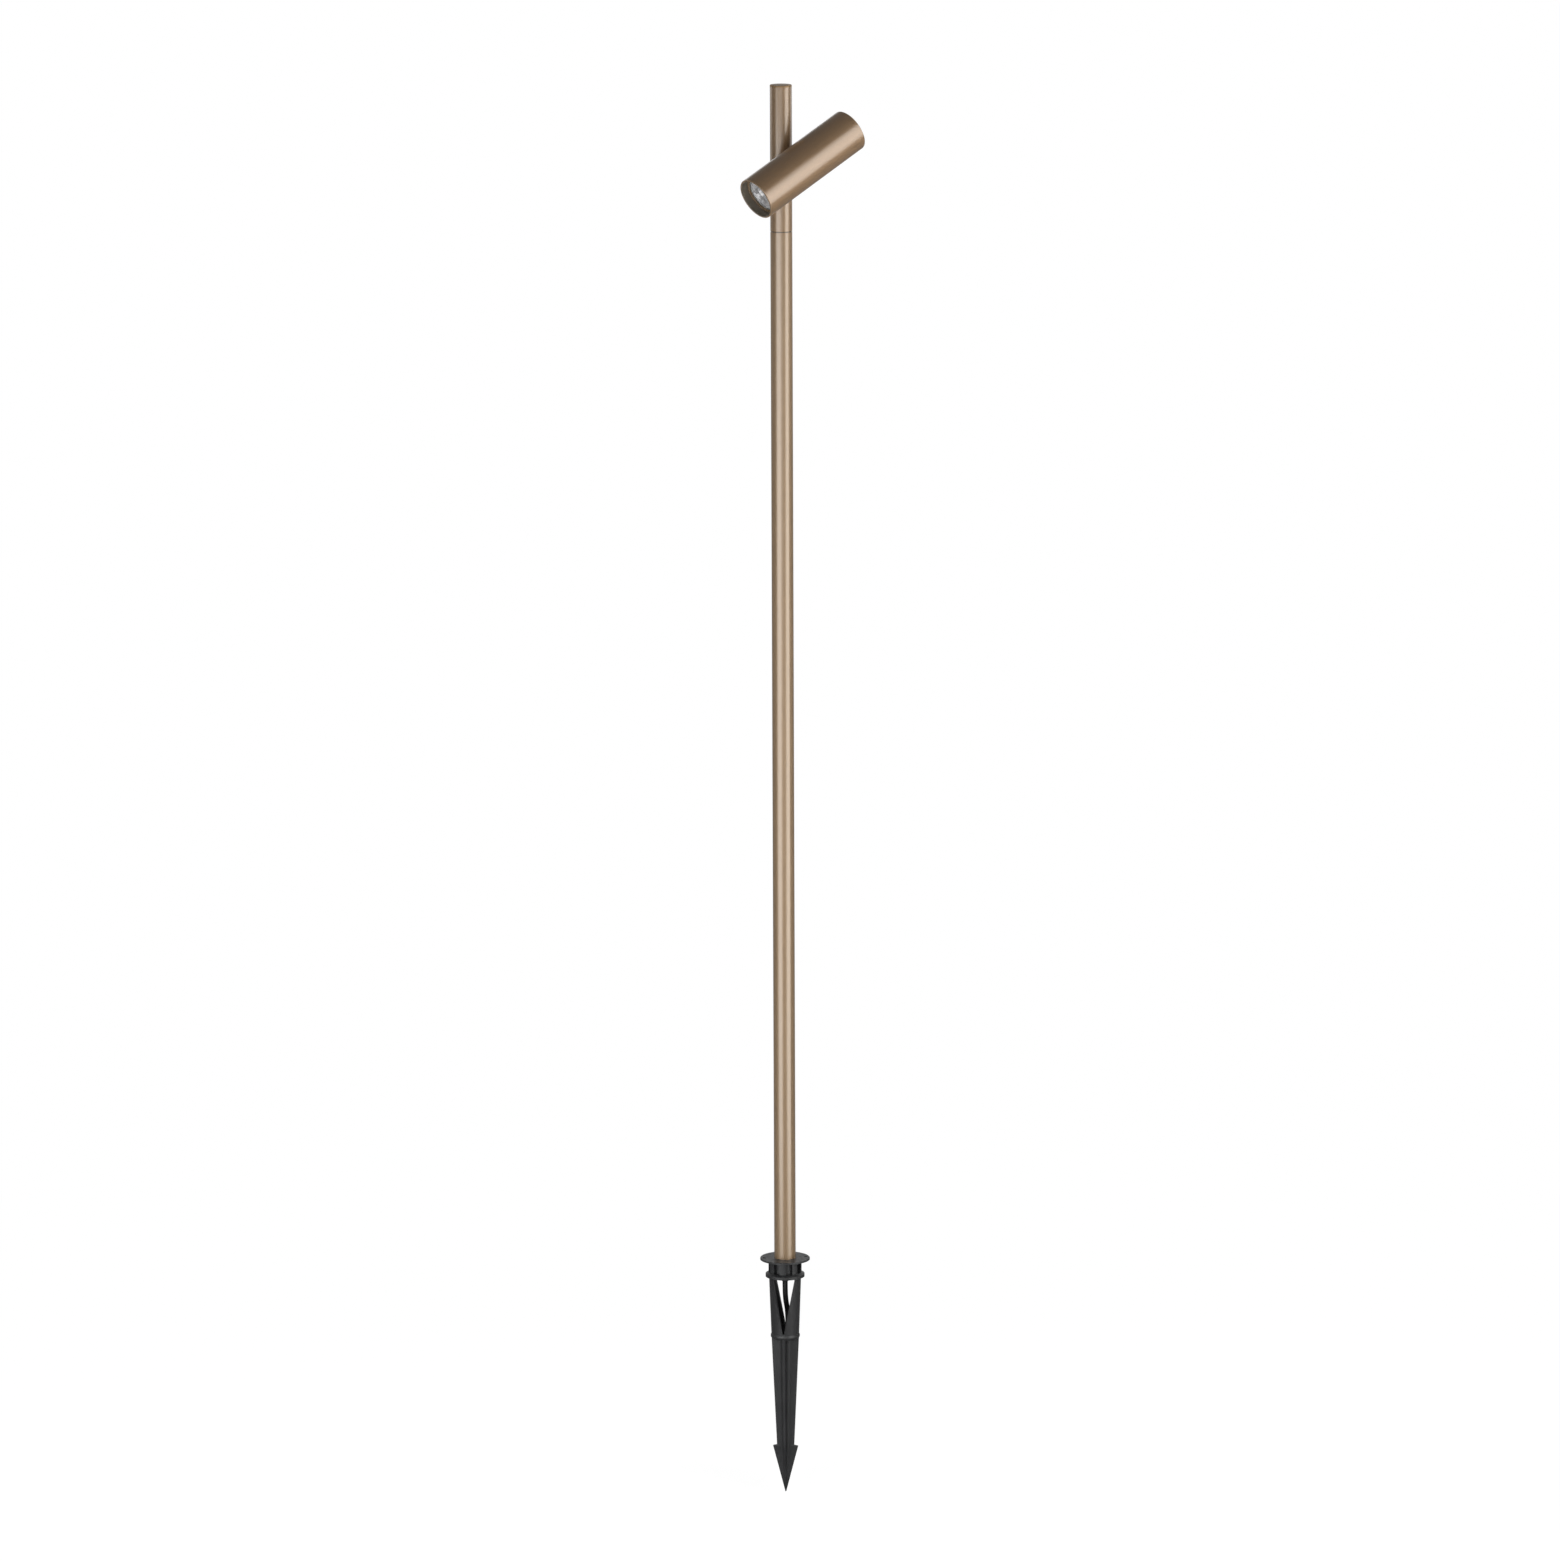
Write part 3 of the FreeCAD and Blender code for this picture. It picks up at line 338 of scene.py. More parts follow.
def bronze_paint(name, turn=0.0, bore=False, coat=1.0, shade_tint=(1.0, 1.0, 1.0)):
    """Satin bronze powder coat: metal flakes, orange peel and faint marks along the tube.

    The turn about X takes the tube's axis to Z, and the shade tint multiplies the whole colour: painted
    shade, which makes darker, redder copies of the one paint. In the head's bore the colour goes over to a
    darker grey, with some overspray of coat.
    """
    n = Nodes(name)
    metallic, cloud_shade = 0.45, (0.95, 0.94, 0.93)
    shader = n.principled(Metallic=metallic, Coat_Weight=coat, Coat_IOR=1.85, Coat_Roughness=0.24)
    flakes = n.noise(2600.0, 2.0, 0.6)
    clouds = n.noise(9.0, 3.0, 0.5)
    drawn = n.noise(1.0, 3.0, 0.6, n.stretched((520.0, 520.0, 5.0), turn))
    tone = n.ramp(flakes, (0.30, (0.270, 0.173, 0.090)), (0.55, (0.325, 0.212, 0.114)),
                  (0.78, (0.390, 0.265, 0.152)))
    # The shade tint paints shade into the whole colour, darker and redder than the plain paint.
    dull = tuple(value * share for value, share in zip(shade_tint, cloud_shade))
    cloud = n.ramp(clouds, (0.3, dull), (0.7, shade_tint))
    streak = n.ramp(drawn, (0.3, (0.96, 0.96, 0.96)), (0.7, (1.0, 1.0, 1.0)))
    colour = n.mixed(1.0, n.mixed(1.0, tone, cloud, "MULTIPLY"), streak, "MULTIPLY")
    if bore:
        edge, overspray = 0.1 * MM, 0.1
        inside = n.spread(n.axis_distance(), 1.0, 0.0, BORE_PAINT - edge, BORE_PAINT + edge)
        # Within the bore the colour goes over to a darker grey, with no metal and little coat.
        bore_grey = n.ramp(clouds, (0.3, (0.150, 0.126, 0.094)), (0.7, (0.172, 0.147, 0.112)))
        colour = n.mixed(inside, colour, bore_grey)
        n.link(n.spread(inside, metallic, 0.0, 0.0, 1.0), shader.inputs["Metallic"])
        n.link(n.spread(inside, coat, overspray, 0.0, 1.0), shader.inputs["Coat Weight"])
    n.link(colour, shader.inputs["Base Color"])
    roughness = n.combined("ADD", n.spread(clouds, 0.42, 0.46), n.spread(drawn, 0.0, 0.04))
    n.link(roughness, shader.inputs["Roughness"])
    peel = n.bump(n.noise(420.0, 2.0, 0.5), 0.01, 0.5)
    n.link(n.bump(flakes, 0.006, 0.4, under=peel), shader.inputs["Normal"])
    return n.material


def black_moulding():
    """Moulded black plastic with a fine spark-eroded texture, flow marks and light scuffs."""
    n = Nodes("black_moulding")
    shader = n.principled(Specular_IOR_Level=0.65)
    grain = n.noise(1500.0, 4.0, 0.6)
    clouds = n.noise(38.0, 3.0, 0.55)
    scuffs = n.noise(220.0, 5.0, 0.7, n.stretched((1.0, 1.0, 0.12)))
    scratches = n.noise(1.0, 4.0, 0.75, n.stretched((700.0, 700.0, 22.0)))
    tone = n.ramp(clouds, (0.3, (0.012, 0.012, 0.013)), (0.7, (0.021, 0.021, 0.022)))
    rubbed = n.ramp(scratches, (0.62, (0.0, 0.0, 0.0)), (0.76, (0.016, 0.016, 0.016)))
    n.link(n.mixed(1.0, tone, rubbed, "ADD"), shader.inputs["Base Color"])
    n.link(n.spread(scuffs, 0.36, 0.54), shader.inputs["Roughness"])
    n.link(n.bump(grain, 0.03, 0.45), shader.inputs["Normal"])
    return n.material


def cable_rubber():
    """Black extruded rubber with faint drag marks and dust."""
    n = Nodes("cable_rubber")
    shader = n.principled(Specular_IOR_Level=0.4)
    marks = n.noise(900.0, 3.0, 0.6)
    dust = n.noise(60.0, 4.0, 0.6)
    n.link(n.ramp(dust, (0.35, (0.014, 0.014, 0.014)), (0.75, (0.026, 0.025, 0.024))),
           shader.inputs["Base Color"])
    n.link(n.spread(marks, 0.48, 0.66), shader.inputs["Roughness"])
    n.link(n.bump(marks, 0.03, 0.4), shader.inputs["Normal"])
    return n.material


def seal_rubber(name, low, high):
    """Moulded seal rubber, matt, with a fine bloom."""
    n = Nodes(name)
    shader = n.principled(Specular_IOR_Level=0.3)
    bloom = n.noise(140.0, 4.0, 0.6)
    n.link(n.ramp(bloom, (0.35, low), (0.7, high)), shader.inputs["Base Color"])
    n.link(n.spread(bloom, 0.6, 0.8), shader.inputs["Roughness"])
    n.link(n.bump(n.noise(1800.0, 3.0), 0.02, 0.5), shader.inputs["Normal"])
    return n.material


def plain_plastic(name, low, high, roughness):
    """Smooth engineering plastic with turning marks round the post's axis."""
    n = Nodes(name)
    shader = n.principled(Specular_IOR_Level=0.5)
    rings = n.noise(500.0, 2.0, 0.5, n.stretched((0.1, 0.1, 4.0)))
    n.link(n.ramp(rings, (0.3, low), (0.7, high)), shader.inputs["Base Color"])
    n.link(n.spread(rings, roughness - 0.06, roughness + 0.08), shader.inputs["Roughness"])
    n.link(n.bump(rings, 0.01, 0.5), shader.inputs["Normal"])
    return n.material


def turned_metal(name, low, high, roughness):
    """Turned or plated metal: fine rings along the post's axis and slight stains."""
    n = Nodes(name)
    shader = n.principled(Metallic=1.0)
    rings = n.noise(900.0, 3.0, 0.6, n.stretched((0.08, 0.08, 6.0)))
    stains = n.noise(70.0, 4.0, 0.6)
    n.link(n.ramp(stains, (0.3, low), (0.7, high)), shader.inputs["Base Color"])
    n.link(n.spread(rings, roughness - 0.07, roughness + 0.1), shader.inputs["Roughness"])
    n.link(n.bump(rings, 0.008, 0.5), shader.inputs["Normal"])
    return n.material


def ceramic():
    """Unglazed white ceramic with fine pores."""
    n = Nodes("ceramic")
    shader = n.principled(Specular_IOR_Level=0.4)
    pores = n.noise(700.0, 5.0, 0.7)
    tone = n.ramp(pores, (0.28, (0.55, 0.52, 0.46)), (0.42, (0.80, 0.78, 0.72)), (0.8, (0.86, 0.84, 0.79)))
    n.link(tone, shader.inputs["Base Color"])
    n.link(n.spread(pores, 0.5, 0.7), shader.inputs["Roughness"])
    n.link(n.bump(pores, 0.03, 0.5), shader.inputs["Normal"])
    return n.material


def clear_glass():
    """Clear glass with faint smears, which casts no shadow on what is behind it."""
    n = Nodes("clear_glass")
    shader = n.principled(Transmission_Weight=1.0, IOR=1.47, Base_Color=(0.985, 0.99, 0.985, 1.0))
    smears = n.noise(120.0, 4.0, 0.6)
    n.link(n.spread(smears, 0.0, 0.035), shader.inputs["Roughness"])
    clear = n.add("ShaderNodeBsdfTransparent")
    path = n.add("ShaderNodeLightPath")
    mix = n.add("ShaderNodeMixShader")
    n.link(path.outputs["Is Shadow Ray"], mix.inputs["Fac"])
    n.link(shader.outputs["BSDF"], mix.inputs[1])
    n.link(clear.outputs["BSDF"], mix.inputs[2])
    n.link(mix.outputs["Shader"], n.output.inputs["Surface"])
    return n.material


def lamp_mirror():
    """Bright vapour coating on faceted glass, with faint colour changes; some glass shows through."""
    n = Nodes("lamp_mirror")
    shader = n.principled(Metallic=0.62)
    film = n.noise(90.0, 3.0, 0.5)
    n.link(n.ramp(film, (0.3, (0.88, 0.87, 0.90)), (0.7, (0.96, 0.94, 0.95))), shader.inputs["Base Color"])
    n.link(n.spread(film, 0.05, 0.11), shader.inputs["Roughness"])
    n.link(n.bump(n.noise(600.0, 2.0), 0.02, 0.3), shader.inputs["Normal"])
    return n.material


def core_sheath(name, low, high):
    """Coloured insulation of a single core."""
    n = Nodes(name)
    shader = n.principled(Specular_IOR_Level=0.5)
    marks = n.noise(700.0, 3.0, 0.6)
    n.link(n.ramp(marks, (0.3, low), (0.7, high)), shader.inputs["Base Color"])
    n.link(n.spread(marks, 0.38, 0.5), shader.inputs["Roughness"])
    n.link(n.bump(marks, 0.01, 0.4), shader.inputs["Normal"])
    return n.material


# Painted shade: the head, the upper post and its cap get darker, redder copies of the same bronze paint.
HEAD_PAINTED_SHADE = (1.0, 0.92, 0.83)
TOP_PAINTED_SHADE = (0.95, 0.91, 0.87)
BRONZE = bronze_paint("bronze_paint")
HEAD_BRONZE_SHADED = bronze_paint("bronze_paint_head_shaded", -HEAD_TURN, bore=True, shade_tint=HEAD_PAINTED_SHADE)
TOP_BRONZE_SHADED = bronze_paint("bronze_paint_top_shaded", shade_tint=TOP_PAINTED_SHADE)
CAP_BRONZE_SHADED = bronze_paint("bronze_paint_cap_shaded", coat=0.0, shade_tint=TOP_PAINTED_SHADE)
RING_BRONZE = bronze_paint("bronze_paint_ring", -HEAD_TURN)
MOULDING = black_moulding()
CABLE = cable_rubber()
RUBBER = seal_rubber("soft_rubber", (0.016, 0.016, 0.017), (0.032, 0.031, 0.031))
SILICONE = seal_rubber("pale_silicone", (0.48, 0.48, 0.46), (0.58, 0.58, 0.56))
DARK = plain_plastic("dark_plastic", (0.014, 0.014, 0.014), (0.024, 0.024, 0.024), 0.45)
PALE = plain_plastic("pale_plastic", (0.60, 0.59, 0.54), (0.72, 0.71, 0.66), 0.4)
STEEL = turned_metal("plated_steel", (0.50, 0.50, 0.51), (0.62, 0.62, 0.62), 0.3)
TUNGSTEN = turned_metal("tungsten", (0.22, 0.21, 0.20), (0.34, 0.33, 0.32), 0.4)
BRASS = turned_metal("turned_brass", (0.55, 0.40, 0.17), (0.68, 0.52, 0.25), 0.28)
ALUMINIUM = turned_metal("spun_aluminium", (0.60, 0.60, 0.61), (0.74, 0.74, 0.74), 0.35)
COPPER = turned_metal("bare_copper", (0.55, 0.24, 0.12), (0.75, 0.38, 0.22), 0.3)
CERAMIC = ceramic()
GLASS = clear_glass()
MIRROR = lamp_mirror()
BROWN = core_sheath("brown_core", (0.085, 0.035, 0.016), (0.12, 0.052, 0.026))
BLUE = core_sheath("blue_core", (0.016, 0.06, 0.19), (0.026, 0.09, 0.26))

NODE_MATERIALS = {
    "ground_spike": MOULDING, "lower_post": BRONZE, "foot_plug": DARK, "strain_relief": RUBBER,
    "riser_cable": CABLE, "swivel_spigot": BRASS, "seam_washer": DARK, "wave_washer": STEEL,
    "swivel_nut": STEEL, "upper_post": TOP_BRONZE_SHADED, "top_cap": CAP_BRONZE_SHADED, "swivel_bush": PALE,
    "upper_cores": BROWN, "post_saddle": BRONZE, "pivot_washer": DARK, "inner_saddle": PALE,
    "head_saddle": BRONZE, "pivot_bolt": STEEL, "disc_spring": STEEL, "pivot_nut": STEEL,
    "head_housing": HEAD_BRONZE_SHADED, "rear_cap": RING_BRONZE, "rear_cap_seal": RUBBER,
    "front_ring": RING_BRONZE, "front_glass": GLASS, "glass_seal": SILICONE, "lamp_base": CERAMIC,
    "lamp_holder": CERAMIC, "lamp_carrier": ALUMINIUM, "head_cores": BROWN,
}


def paint(piece, material):
    piece.data.materials.clear()
    piece.data.materials.append(material)


for node_name, material in NODE_MATERIALS.items():
    paint(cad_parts[node_name], material)
paint(cable, CABLE)


# Mesh tools

def head_point(point):
    """From the head's own frame, Z along its axis and the lamp at the top, to the frame."""
    return Matrix.Rotation(HEAD_TURN, 3, "X") @ Vector(point) + PIVOT


def mesh_piece(name, vertices, faces, body, material, smooth=True):
    data = bpy.data.meshes.new(name)
    data.from_pydata([tuple(v) for v in vertices], [], faces)
    data.update()
    for polygon in data.polygons:
        polygon.use_smooth = smooth
    piece = bpy.data.objects.new(name, data)
    scene.collection.objects.link(piece)
    paint(piece, material)
    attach(piece, body)
    return piece


def wall_faces(rings, around, closed):
    """Quads between rings of equal size, one after another, and back to the first where closed."""
    faces = []
    for i in range(rings if closed else rings - 1):
        this, following = i * around, (i + 1) % rings * around
        for j in range(around):
            k = (j + 1) % around
            faces.append((this + j, this + k, following + k, following + j))
    return faces


def spun(profile, sides):
    """A closed skin: (radius, height) points turned about Z, with both ends on the axis."""
    vertices = [(0.0, 0.0, profile[0][1])]
    for radius, height in profile[1:-1]:
        for j in range(sides):
            angle = 2 * math.pi * j / sides
            vertices.append((radius * math.cos(angle), radius * math.sin(angle), height))
    rings = len(profile) - 2
    faces = [tuple(1 + v for v in face) for face in wall_faces(rings, sides, False)]
    last = 1 + (rings - 1) * sides
    vertices.append((0.0, 0.0, profile[-1][1]))
    for j in range(sides):
        k = (j + 1) % sides
        faces.append((0, 1 + k, 1 + j))
        faces.append((last + j, last + k, len(vertices) - 1))
    return vertices, faces


# Lamp

FACET_ROWS = 7
FACETS_AROUND = 28
FACET_STEPS = 4
FACET_DOME = 0.1 * MM       # how far a facet's middle stands out at the dish's rim
NECK_DOME = 0.4             # share of that towards the axis
DISH_NECK = CAPSULE_RADIUS + 0.3 * MM
DISH_RIM = LAMP_RADIUS - LAMP_WALL
DISH_INNER = (35.8 * MM, 15.37 * MM)    # height of the apex and four focal lengths of the parabola
DISH_OUTER = (29.57 * MM, 11.9 * MM)


def parabola(curve, radius):
    """Height of the curve at that distance from the axis."""
    apex, four_focal = curve
    return apex + radius ** 2 / four_focal


def dish_rings():
    """The dish inside, from its neck to its rim: radius, height and place among the facets."""
    rows = FACET_ROWS * FACET_STEPS
    rings = []
    for i in range(rows + 1):
        radius = DISH_NECK + (DISH_RIM - DISH_NECK) * i / rows
        rings.append((radius, parabola(DISH_INNER, radius), i))
    return rings


def reflector_shell():
    """Rim, smooth back and neck, as plain rings after the dish's."""
    edge = 0.15 * MM
    low_rim = LAMP_FACE - LAMP_RIM
    profile = [
        (DISH_RIM, LAMP_FACE - edge), (DISH_RIM + edge, LAMP_FACE), (LAMP_RADIUS - edge, LAMP_FACE),
        (LAMP_RADIUS, LAMP_FACE - edge), (LAMP_RADIUS, low_rim + edge), (LAMP_RADIUS - edge, low_rim),
    ]
    steps = 8
    for i in range(steps + 1):
        radius = DISH_RIM + (LAMP_NECK - DISH_RIM) * i / steps
        profile.append((radius, parabola(DISH_OUTER, radius)))
    profile.append((DISH_NECK, LAMP_BACK))
    return [(radius, height, None) for radius, height in profile]


def faceted_reflector():
    """Glass reflector whose inside is rows of domed facets, each row half a facet further round."""
    around = FACETS_AROUND * FACET_STEPS
    rings = dish_rings() + reflector_shell()
    vertices = []
    for radius, height, row in rings:
        for j in range(around):
            angle = 2 * math.pi * j / around
            lift = 0.0
            if row is not None:
                along = row / FACET_STEPS % 1.0
                across = (j / FACET_STEPS + 0.5 * (row // FACET_STEPS % 2)) % 1.0
                size = NECK_DOME + (1 - NECK_DOME) * radius / DISH_RIM
                lift = FACET_DOME * size * 16 * along * (1 - along) * across * (1 - across)
            slope = 2 * radius / DISH_INNER[1]
            normal = math.hypot(slope, 1.0)
            out = radius - lift * slope / normal
            vertices.append(head_point((out * math.cos(angle), out * math.sin(angle),
                                        height + lift / normal)))
    piece = mesh_piece("faceted_reflector", vertices, wall_faces(len(rings), around, True), "head", MIRROR)
    crease_facets(piece.data, around)
    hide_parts("lamp_reflector")


def crease_facets(data, around):
    """Sharp edges between the facets."""
    last = FACET_ROWS * FACET_STEPS
    for edge in data.edges:
        (row_a, a), (row_b, b) = (divmod(v, around) for v in edge.vertices)
        if row_a > last or row_b > last:
            continue
        row = min(row_a, row_b)
        shift = FACET_STEPS // 2 * (row // FACET_STEPS % 2)
        if row_a == row_b:
            edge.use_edge_sharp = row_a % FACET_STEPS == 0
        else:
            edge.use_edge_sharp = a == b and (a + shift) % FACET_STEPS == 0


def glass_capsule():
    """Thin glass capsule with a domed end and the nib where it was sealed, hollow inside."""
    wall, floor, nib = 0.6 * MM, 38.4 * MM, 0.55 * MM
    dome_height, blunt = 2.9 * MM, 0.8
    foot_in, foot_up, floor_edge, floor_lift = 0.3 * MM, 0.4 * MM, 1.0 * MM, 0.1 * MM
    shoulder = CAPSULE_TOP - nib - dome_height
    steps = 7
    turn = [math.pi / 2 * i / steps for i in range(steps + 1)]
    outer = [(0.0, LAMP_BACK), (CAPSULE_RADIUS - foot_in, LAMP_BACK),
             (CAPSULE_RADIUS, LAMP_BACK + foot_up)]
    outer += [(CAPSULE_RADIUS * math.cos(a), shoulder + dome_height * math.sin(a)) for a in turn[:-1]]
    outer += [(nib, CAPSULE_TOP - nib), (nib * blunt, CAPSULE_TOP - nib / 3), (0.0, CAPSULE_TOP)]
    bore = CAPSULE_RADIUS - wall
    inner = [(0.0, floor), (bore * blunt, floor + floor_lift), (bore, floor + floor_edge)]
    inner += [(bore * math.cos(a), shoulder + (dome_height - wall) * math.sin(a)) for a in turn[:-1]]
    inner.append((0.0, shoulder + dome_height - wall))
    sides = 40
    skin, skin_faces = spun(outer, sides)
    hollow, hollow_faces = spun(inner, sides)
    faces = skin_faces + [tuple(len(skin) + v for v in reversed(face)) for face in hollow_faces]
    piece = mesh_piece("glass_capsule", [head_point(v) for v in skin + hollow], faces, "head", GLASS)
    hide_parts("lamp_capsule")


def filament():
    """Coiled wire on its two leads, inside the capsule."""
    turns, per_turn = 9, 10
    coil, low, high, foot, lead = 0.6 * MM, 40.4 * MM, 43.6 * MM, 38.5 * MM, 1.5 * MM
    below, hook, wire = 0.8 * MM, 0.5 * MM, 0.11 * MM
    points = [(lead, 0.0, foot), (lead, 0.0, low - below), (coil, 0.0, low - below + hook)]
    for k in range(turns * per_turn + 1):
        angle = 2 * math.pi * k / per_turn
        height = low + (high - low) * k / turns / per_turn
        points.append((coil * math.cos(angle), coil * math.sin(angle), height))
    points += [(0.0, 0.0, high + hook), (-lead, 0.0, high + hook), (-lead, 0.0, high - hook),
               (-lead, 0.0, foot)]
    piece = nurbs_tubes("filament", [[head_point(p) for p in points]], wire, sides=2, steps=3)
    paint(piece, TUNGSTEN)
    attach(piece, "head")


faceted_reflector()
glass_capsule()
filament()


# Cable ends and tie

def stripped_core(name, side, material):
    """One core: insulation that leans slightly outwards, with twisted copper strands at its tip."""
    foot = hank_line[-1]
    lean = 0.6 * MM
    start = foot + Vector((side * CORE_SPACING / 2, 0.0, 0.0))
    bend = start - UP * CORE_TAIL / 2 + Vector((side * lean / 3, 0.0, 0.0))
    end = start - UP * CORE_TAIL + Vector((side * lean, 0.0, 0.0))
    points = [start + UP * CORE_RADIUS, start - UP * CORE_TAIL / 5, bend, end]
    sheath = nurbs_tubes(name, [[on_hank(p) for p in points]], CORE_RADIUS, sides=4)
    paint(sheath, material)
    strand, lay, turns, steps = 0.17 * MM, 0.36 * MM, 1.5, 12
    outer_strands, splay = 6, 0.35
    axis = (end - bend).normalized()
    lines = [[on_hank(end - axis * strand), on_hank(end + axis * CORE_STRIPPED / 2),
              on_hank(end + axis * CORE_STRIPPED)]]
    for k in range(outer_strands):
        line = []
        for i in range(steps + 1):
            share = i / steps
            angle = 2 * math.pi * (k / outer_strands + turns * share)
            flare = lay * (1 + splay * share ** 3)
            offset = Vector((flare * math.cos(angle), flare * math.sin(angle), 0.0))
            line.append(on_hank(end + offset + axis * (CORE_STRIPPED * share - strand)))
        lines.append(line)
    strands = nurbs_tubes(name + "_strands", lines, strand, sides=2, steps=4)
    paint(strands, COPPER)
    for piece in (sheath, strands):
        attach(piece, "stake")
        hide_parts("cable_ends")
    return [sheath, strands]


def tie_path():
    """Inner line of the band round the waist: points and outward ways, in the hank's plane."""
    waists = [hank_waist(distance) for distance in hank_distances()]
    low = HANK_MIDDLE + min(waists) - CABLE_DIAMETER / 2 - TIE_GAP
    high = HANK_MIDDLE + max(waists) + CABLE_DIAMETER / 2 + TIE_GAP
    half = HANK_LAYERS / 2 + CABLE_DIAMETER / 2 + TIE_GAP
    corner = CABLE_DIAMETER / 2
    pitch, bend_steps = 0.25 * MM, 12
    path = []
    centres = [(high - corner, half - corner, 0), (low + corner, half - corner, 1),
               (low + corner, corner - half, 2), (high - corner, corner - half, 3)]
    for k, (x, y, quarter) in enumerate(centres):
        for i in range(bend_steps + 1):
            angle = math.pi / 2 * (quarter + i / bend_steps)
            way = Vector((math.cos(angle), math.sin(angle), 0.0))
            path.append((Vector((x, y, 0.0)) + way * corner, way))
        following = centres[(k + 1) % len(centres)]
        start, way = path[-1]
        end = Vector((following[0], following[1], 0.0)) + way * corner
        count = round((end - start).length / pitch)
        path += [(start.lerp(end, i / count), way) for i in range(1, count)]
    return path, high


def tie_band(path, level):
    """The band's rings: a flat section whose middle carries sawtooth ridges outside."""
    thick, half, edge, teeth = TIE_THICKNESS, TIE_WIDTH / 2, 0.25 * MM, 1.3 * MM
    saw_steps, saw_depth = 4, 0.3 * MM
    vertices = []
    for k, (point, way) in enumerate(path):
        groove = thick - saw_depth * (k % saw_steps) / (saw_steps - 1)
        section = [(0.0, edge - half), (0.0, half - edge), (edge, half), (thick - edge, half),
                   (thick, half - edge), (thick, teeth), (groove, teeth), (groove, -teeth),
                   (thick, -teeth), (thick, edge - half), (thick - edge, -half), (edge, -half)]
        for out, up in section:
            vertices.append(point + way * out + UP * (level + up))
    return vertices, wall_faces(len(path), len(section), True)


def block(bm, size, centre):
    """A box in the bmesh; gives back its corners."""
    place = Matrix.Translation(centre) @ Matrix.Diagonal((*size, 1.0))
    return bmesh.ops.create_cube(bm, size=1.0, matrix=place)["verts"]


def tie_lock(high, level):
    """The tie's lock on the band, with a window over its pawl, and the band's cut tail beside it."""
    window_frame, window_depth = 1.5 * MM, 0.7 * MM
    tail = Vector((TIE_THICKNESS * 0.9, 3.2 * MM, TIE_WIDTH - 0.4 * MM))
    tail_out, tail_sunk = 0.2 * MM, 0.3 * MM
    lock_rounding, tail_rounding = 0.35 * MM, 0.2 * MM
    size = TIE_LOCK
    centre = Vector((high + TIE_THICKNESS / 2 + size.x / 2, 0.0, level))
    bm = bmesh.new()
    block(bm, size, centre)
    outside = max(bm.faces, key=lambda f: f.calc_center_median().x)
    bmesh.ops.inset_region(bm, faces=[outside], thickness=window_frame, depth=0.0)
    bmesh.ops.translate(bm, verts=outside.verts, vec=(-window_depth, 0.0, 0.0))
    sharp = [e for e in bm.edges if e.calc_face_angle() > math.radians(30)]
    bmesh.ops.bevel(bm, geom=sharp, offset=lock_rounding, segments=3, profile=0.5, affect="EDGES")
    end = block(bm, tail, centre + Vector((tail_out, -size.y / 2 - tail.y / 2 + tail_sunk, 0.0)))
    edges = list({e for v in end for e in v.link_edges})
    bmesh.ops.bevel(bm, geom=edges, offset=tail_rounding, segments=2, profile=0.5, affect="EDGES")
    bm.verts.ensure_lookup_table()
    vertices = [v.co.copy() for v in bm.verts]
    faces = [tuple(v.index for v in f.verts) for f in bm.faces]
    bm.free()
    return vertices, faces


def hank_tie():
    """Band, lock and tail as one piece."""
    level = hank_high - HANK_RUN / 2
    path, high = tie_path()
    band, band_faces = tie_band(path, level)
    lock, lock_faces = tie_lock(high, level)
    faces = band_faces + [tuple(len(band) + v for v in face) for face in lock_faces]
    piece = mesh_piece("tie_strap", [on_hank(v) for v in band + lock], faces, "stake", DARK, smooth=False)
    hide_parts("hank_tie")
    return piece


on_cable = [hank_tie()] + stripped_core("brown_core", -1, BROWN) + stripped_core("blue_core", 1, BLUE)


# Floor and lights

FLOOR_HALF = 40.0
FLOOR_BELOW = 0.2 * MM      # from the spike's tip down to the floor
FLOOR_COLOUR = 0.82
FLOOR_NEAR = 0.3            # the object's shadow shows most within this distance of the origin
FLOOR_FAR = 1.6             # and beyond this one the floor is plain white
FLOOR_GLOW = 0.72           # share of the near floor's white that isn't lamp light
FLOOR_WHITE = 1.2           # strength of that glow there
FLOOR_SHEEN = 0.20          # brightness of the near floor in reflections, which goes over to ROOM
SHEEN_NEAR = 1.0
SHEEN_FAR = 2.0
WALL_HALF_ANGLE = math.radians(21.0)
WALL_EDGE = math.radians(6.0)
ROOM = 0.17                 # brightness of the room outside the wall and the lights
WHITE = (1.0, 1.0, 1.0)

# Name, low and high middle, width, radiance and colour. Each middle is the azimuth in degrees from the
# camera, positive to the right, the distance from the post's axis and the height.
SOFTBOXES = [
    ("left_softbox", (-43.0, 1.0, -0.24), (-30.0, 1.0, 1.06), 0.84, 2.5, (0.97, 0.99, 1.0)),
    ("right_softbox", (42.0, 1.0, -0.24), (76.0, 1.0, 1.70), 0.72, 2.6, (0.99, 1.0, 0.985)),
    ("front_fill", (0.0, 4.0, -0.20), (0.0, 4.0, 2.30), 2.4, 0.9, WHITE),
    ("right_rim", (135.0, 2.6, 0.9), (135.0, 2.6, 3.1), 1.6, 1.3, WHITE),
    ("left_rim", (-128.0, 2.6, 0.9), (-128.0, 2.6, 3.1), 1.6, 1.3, WHITE),
]


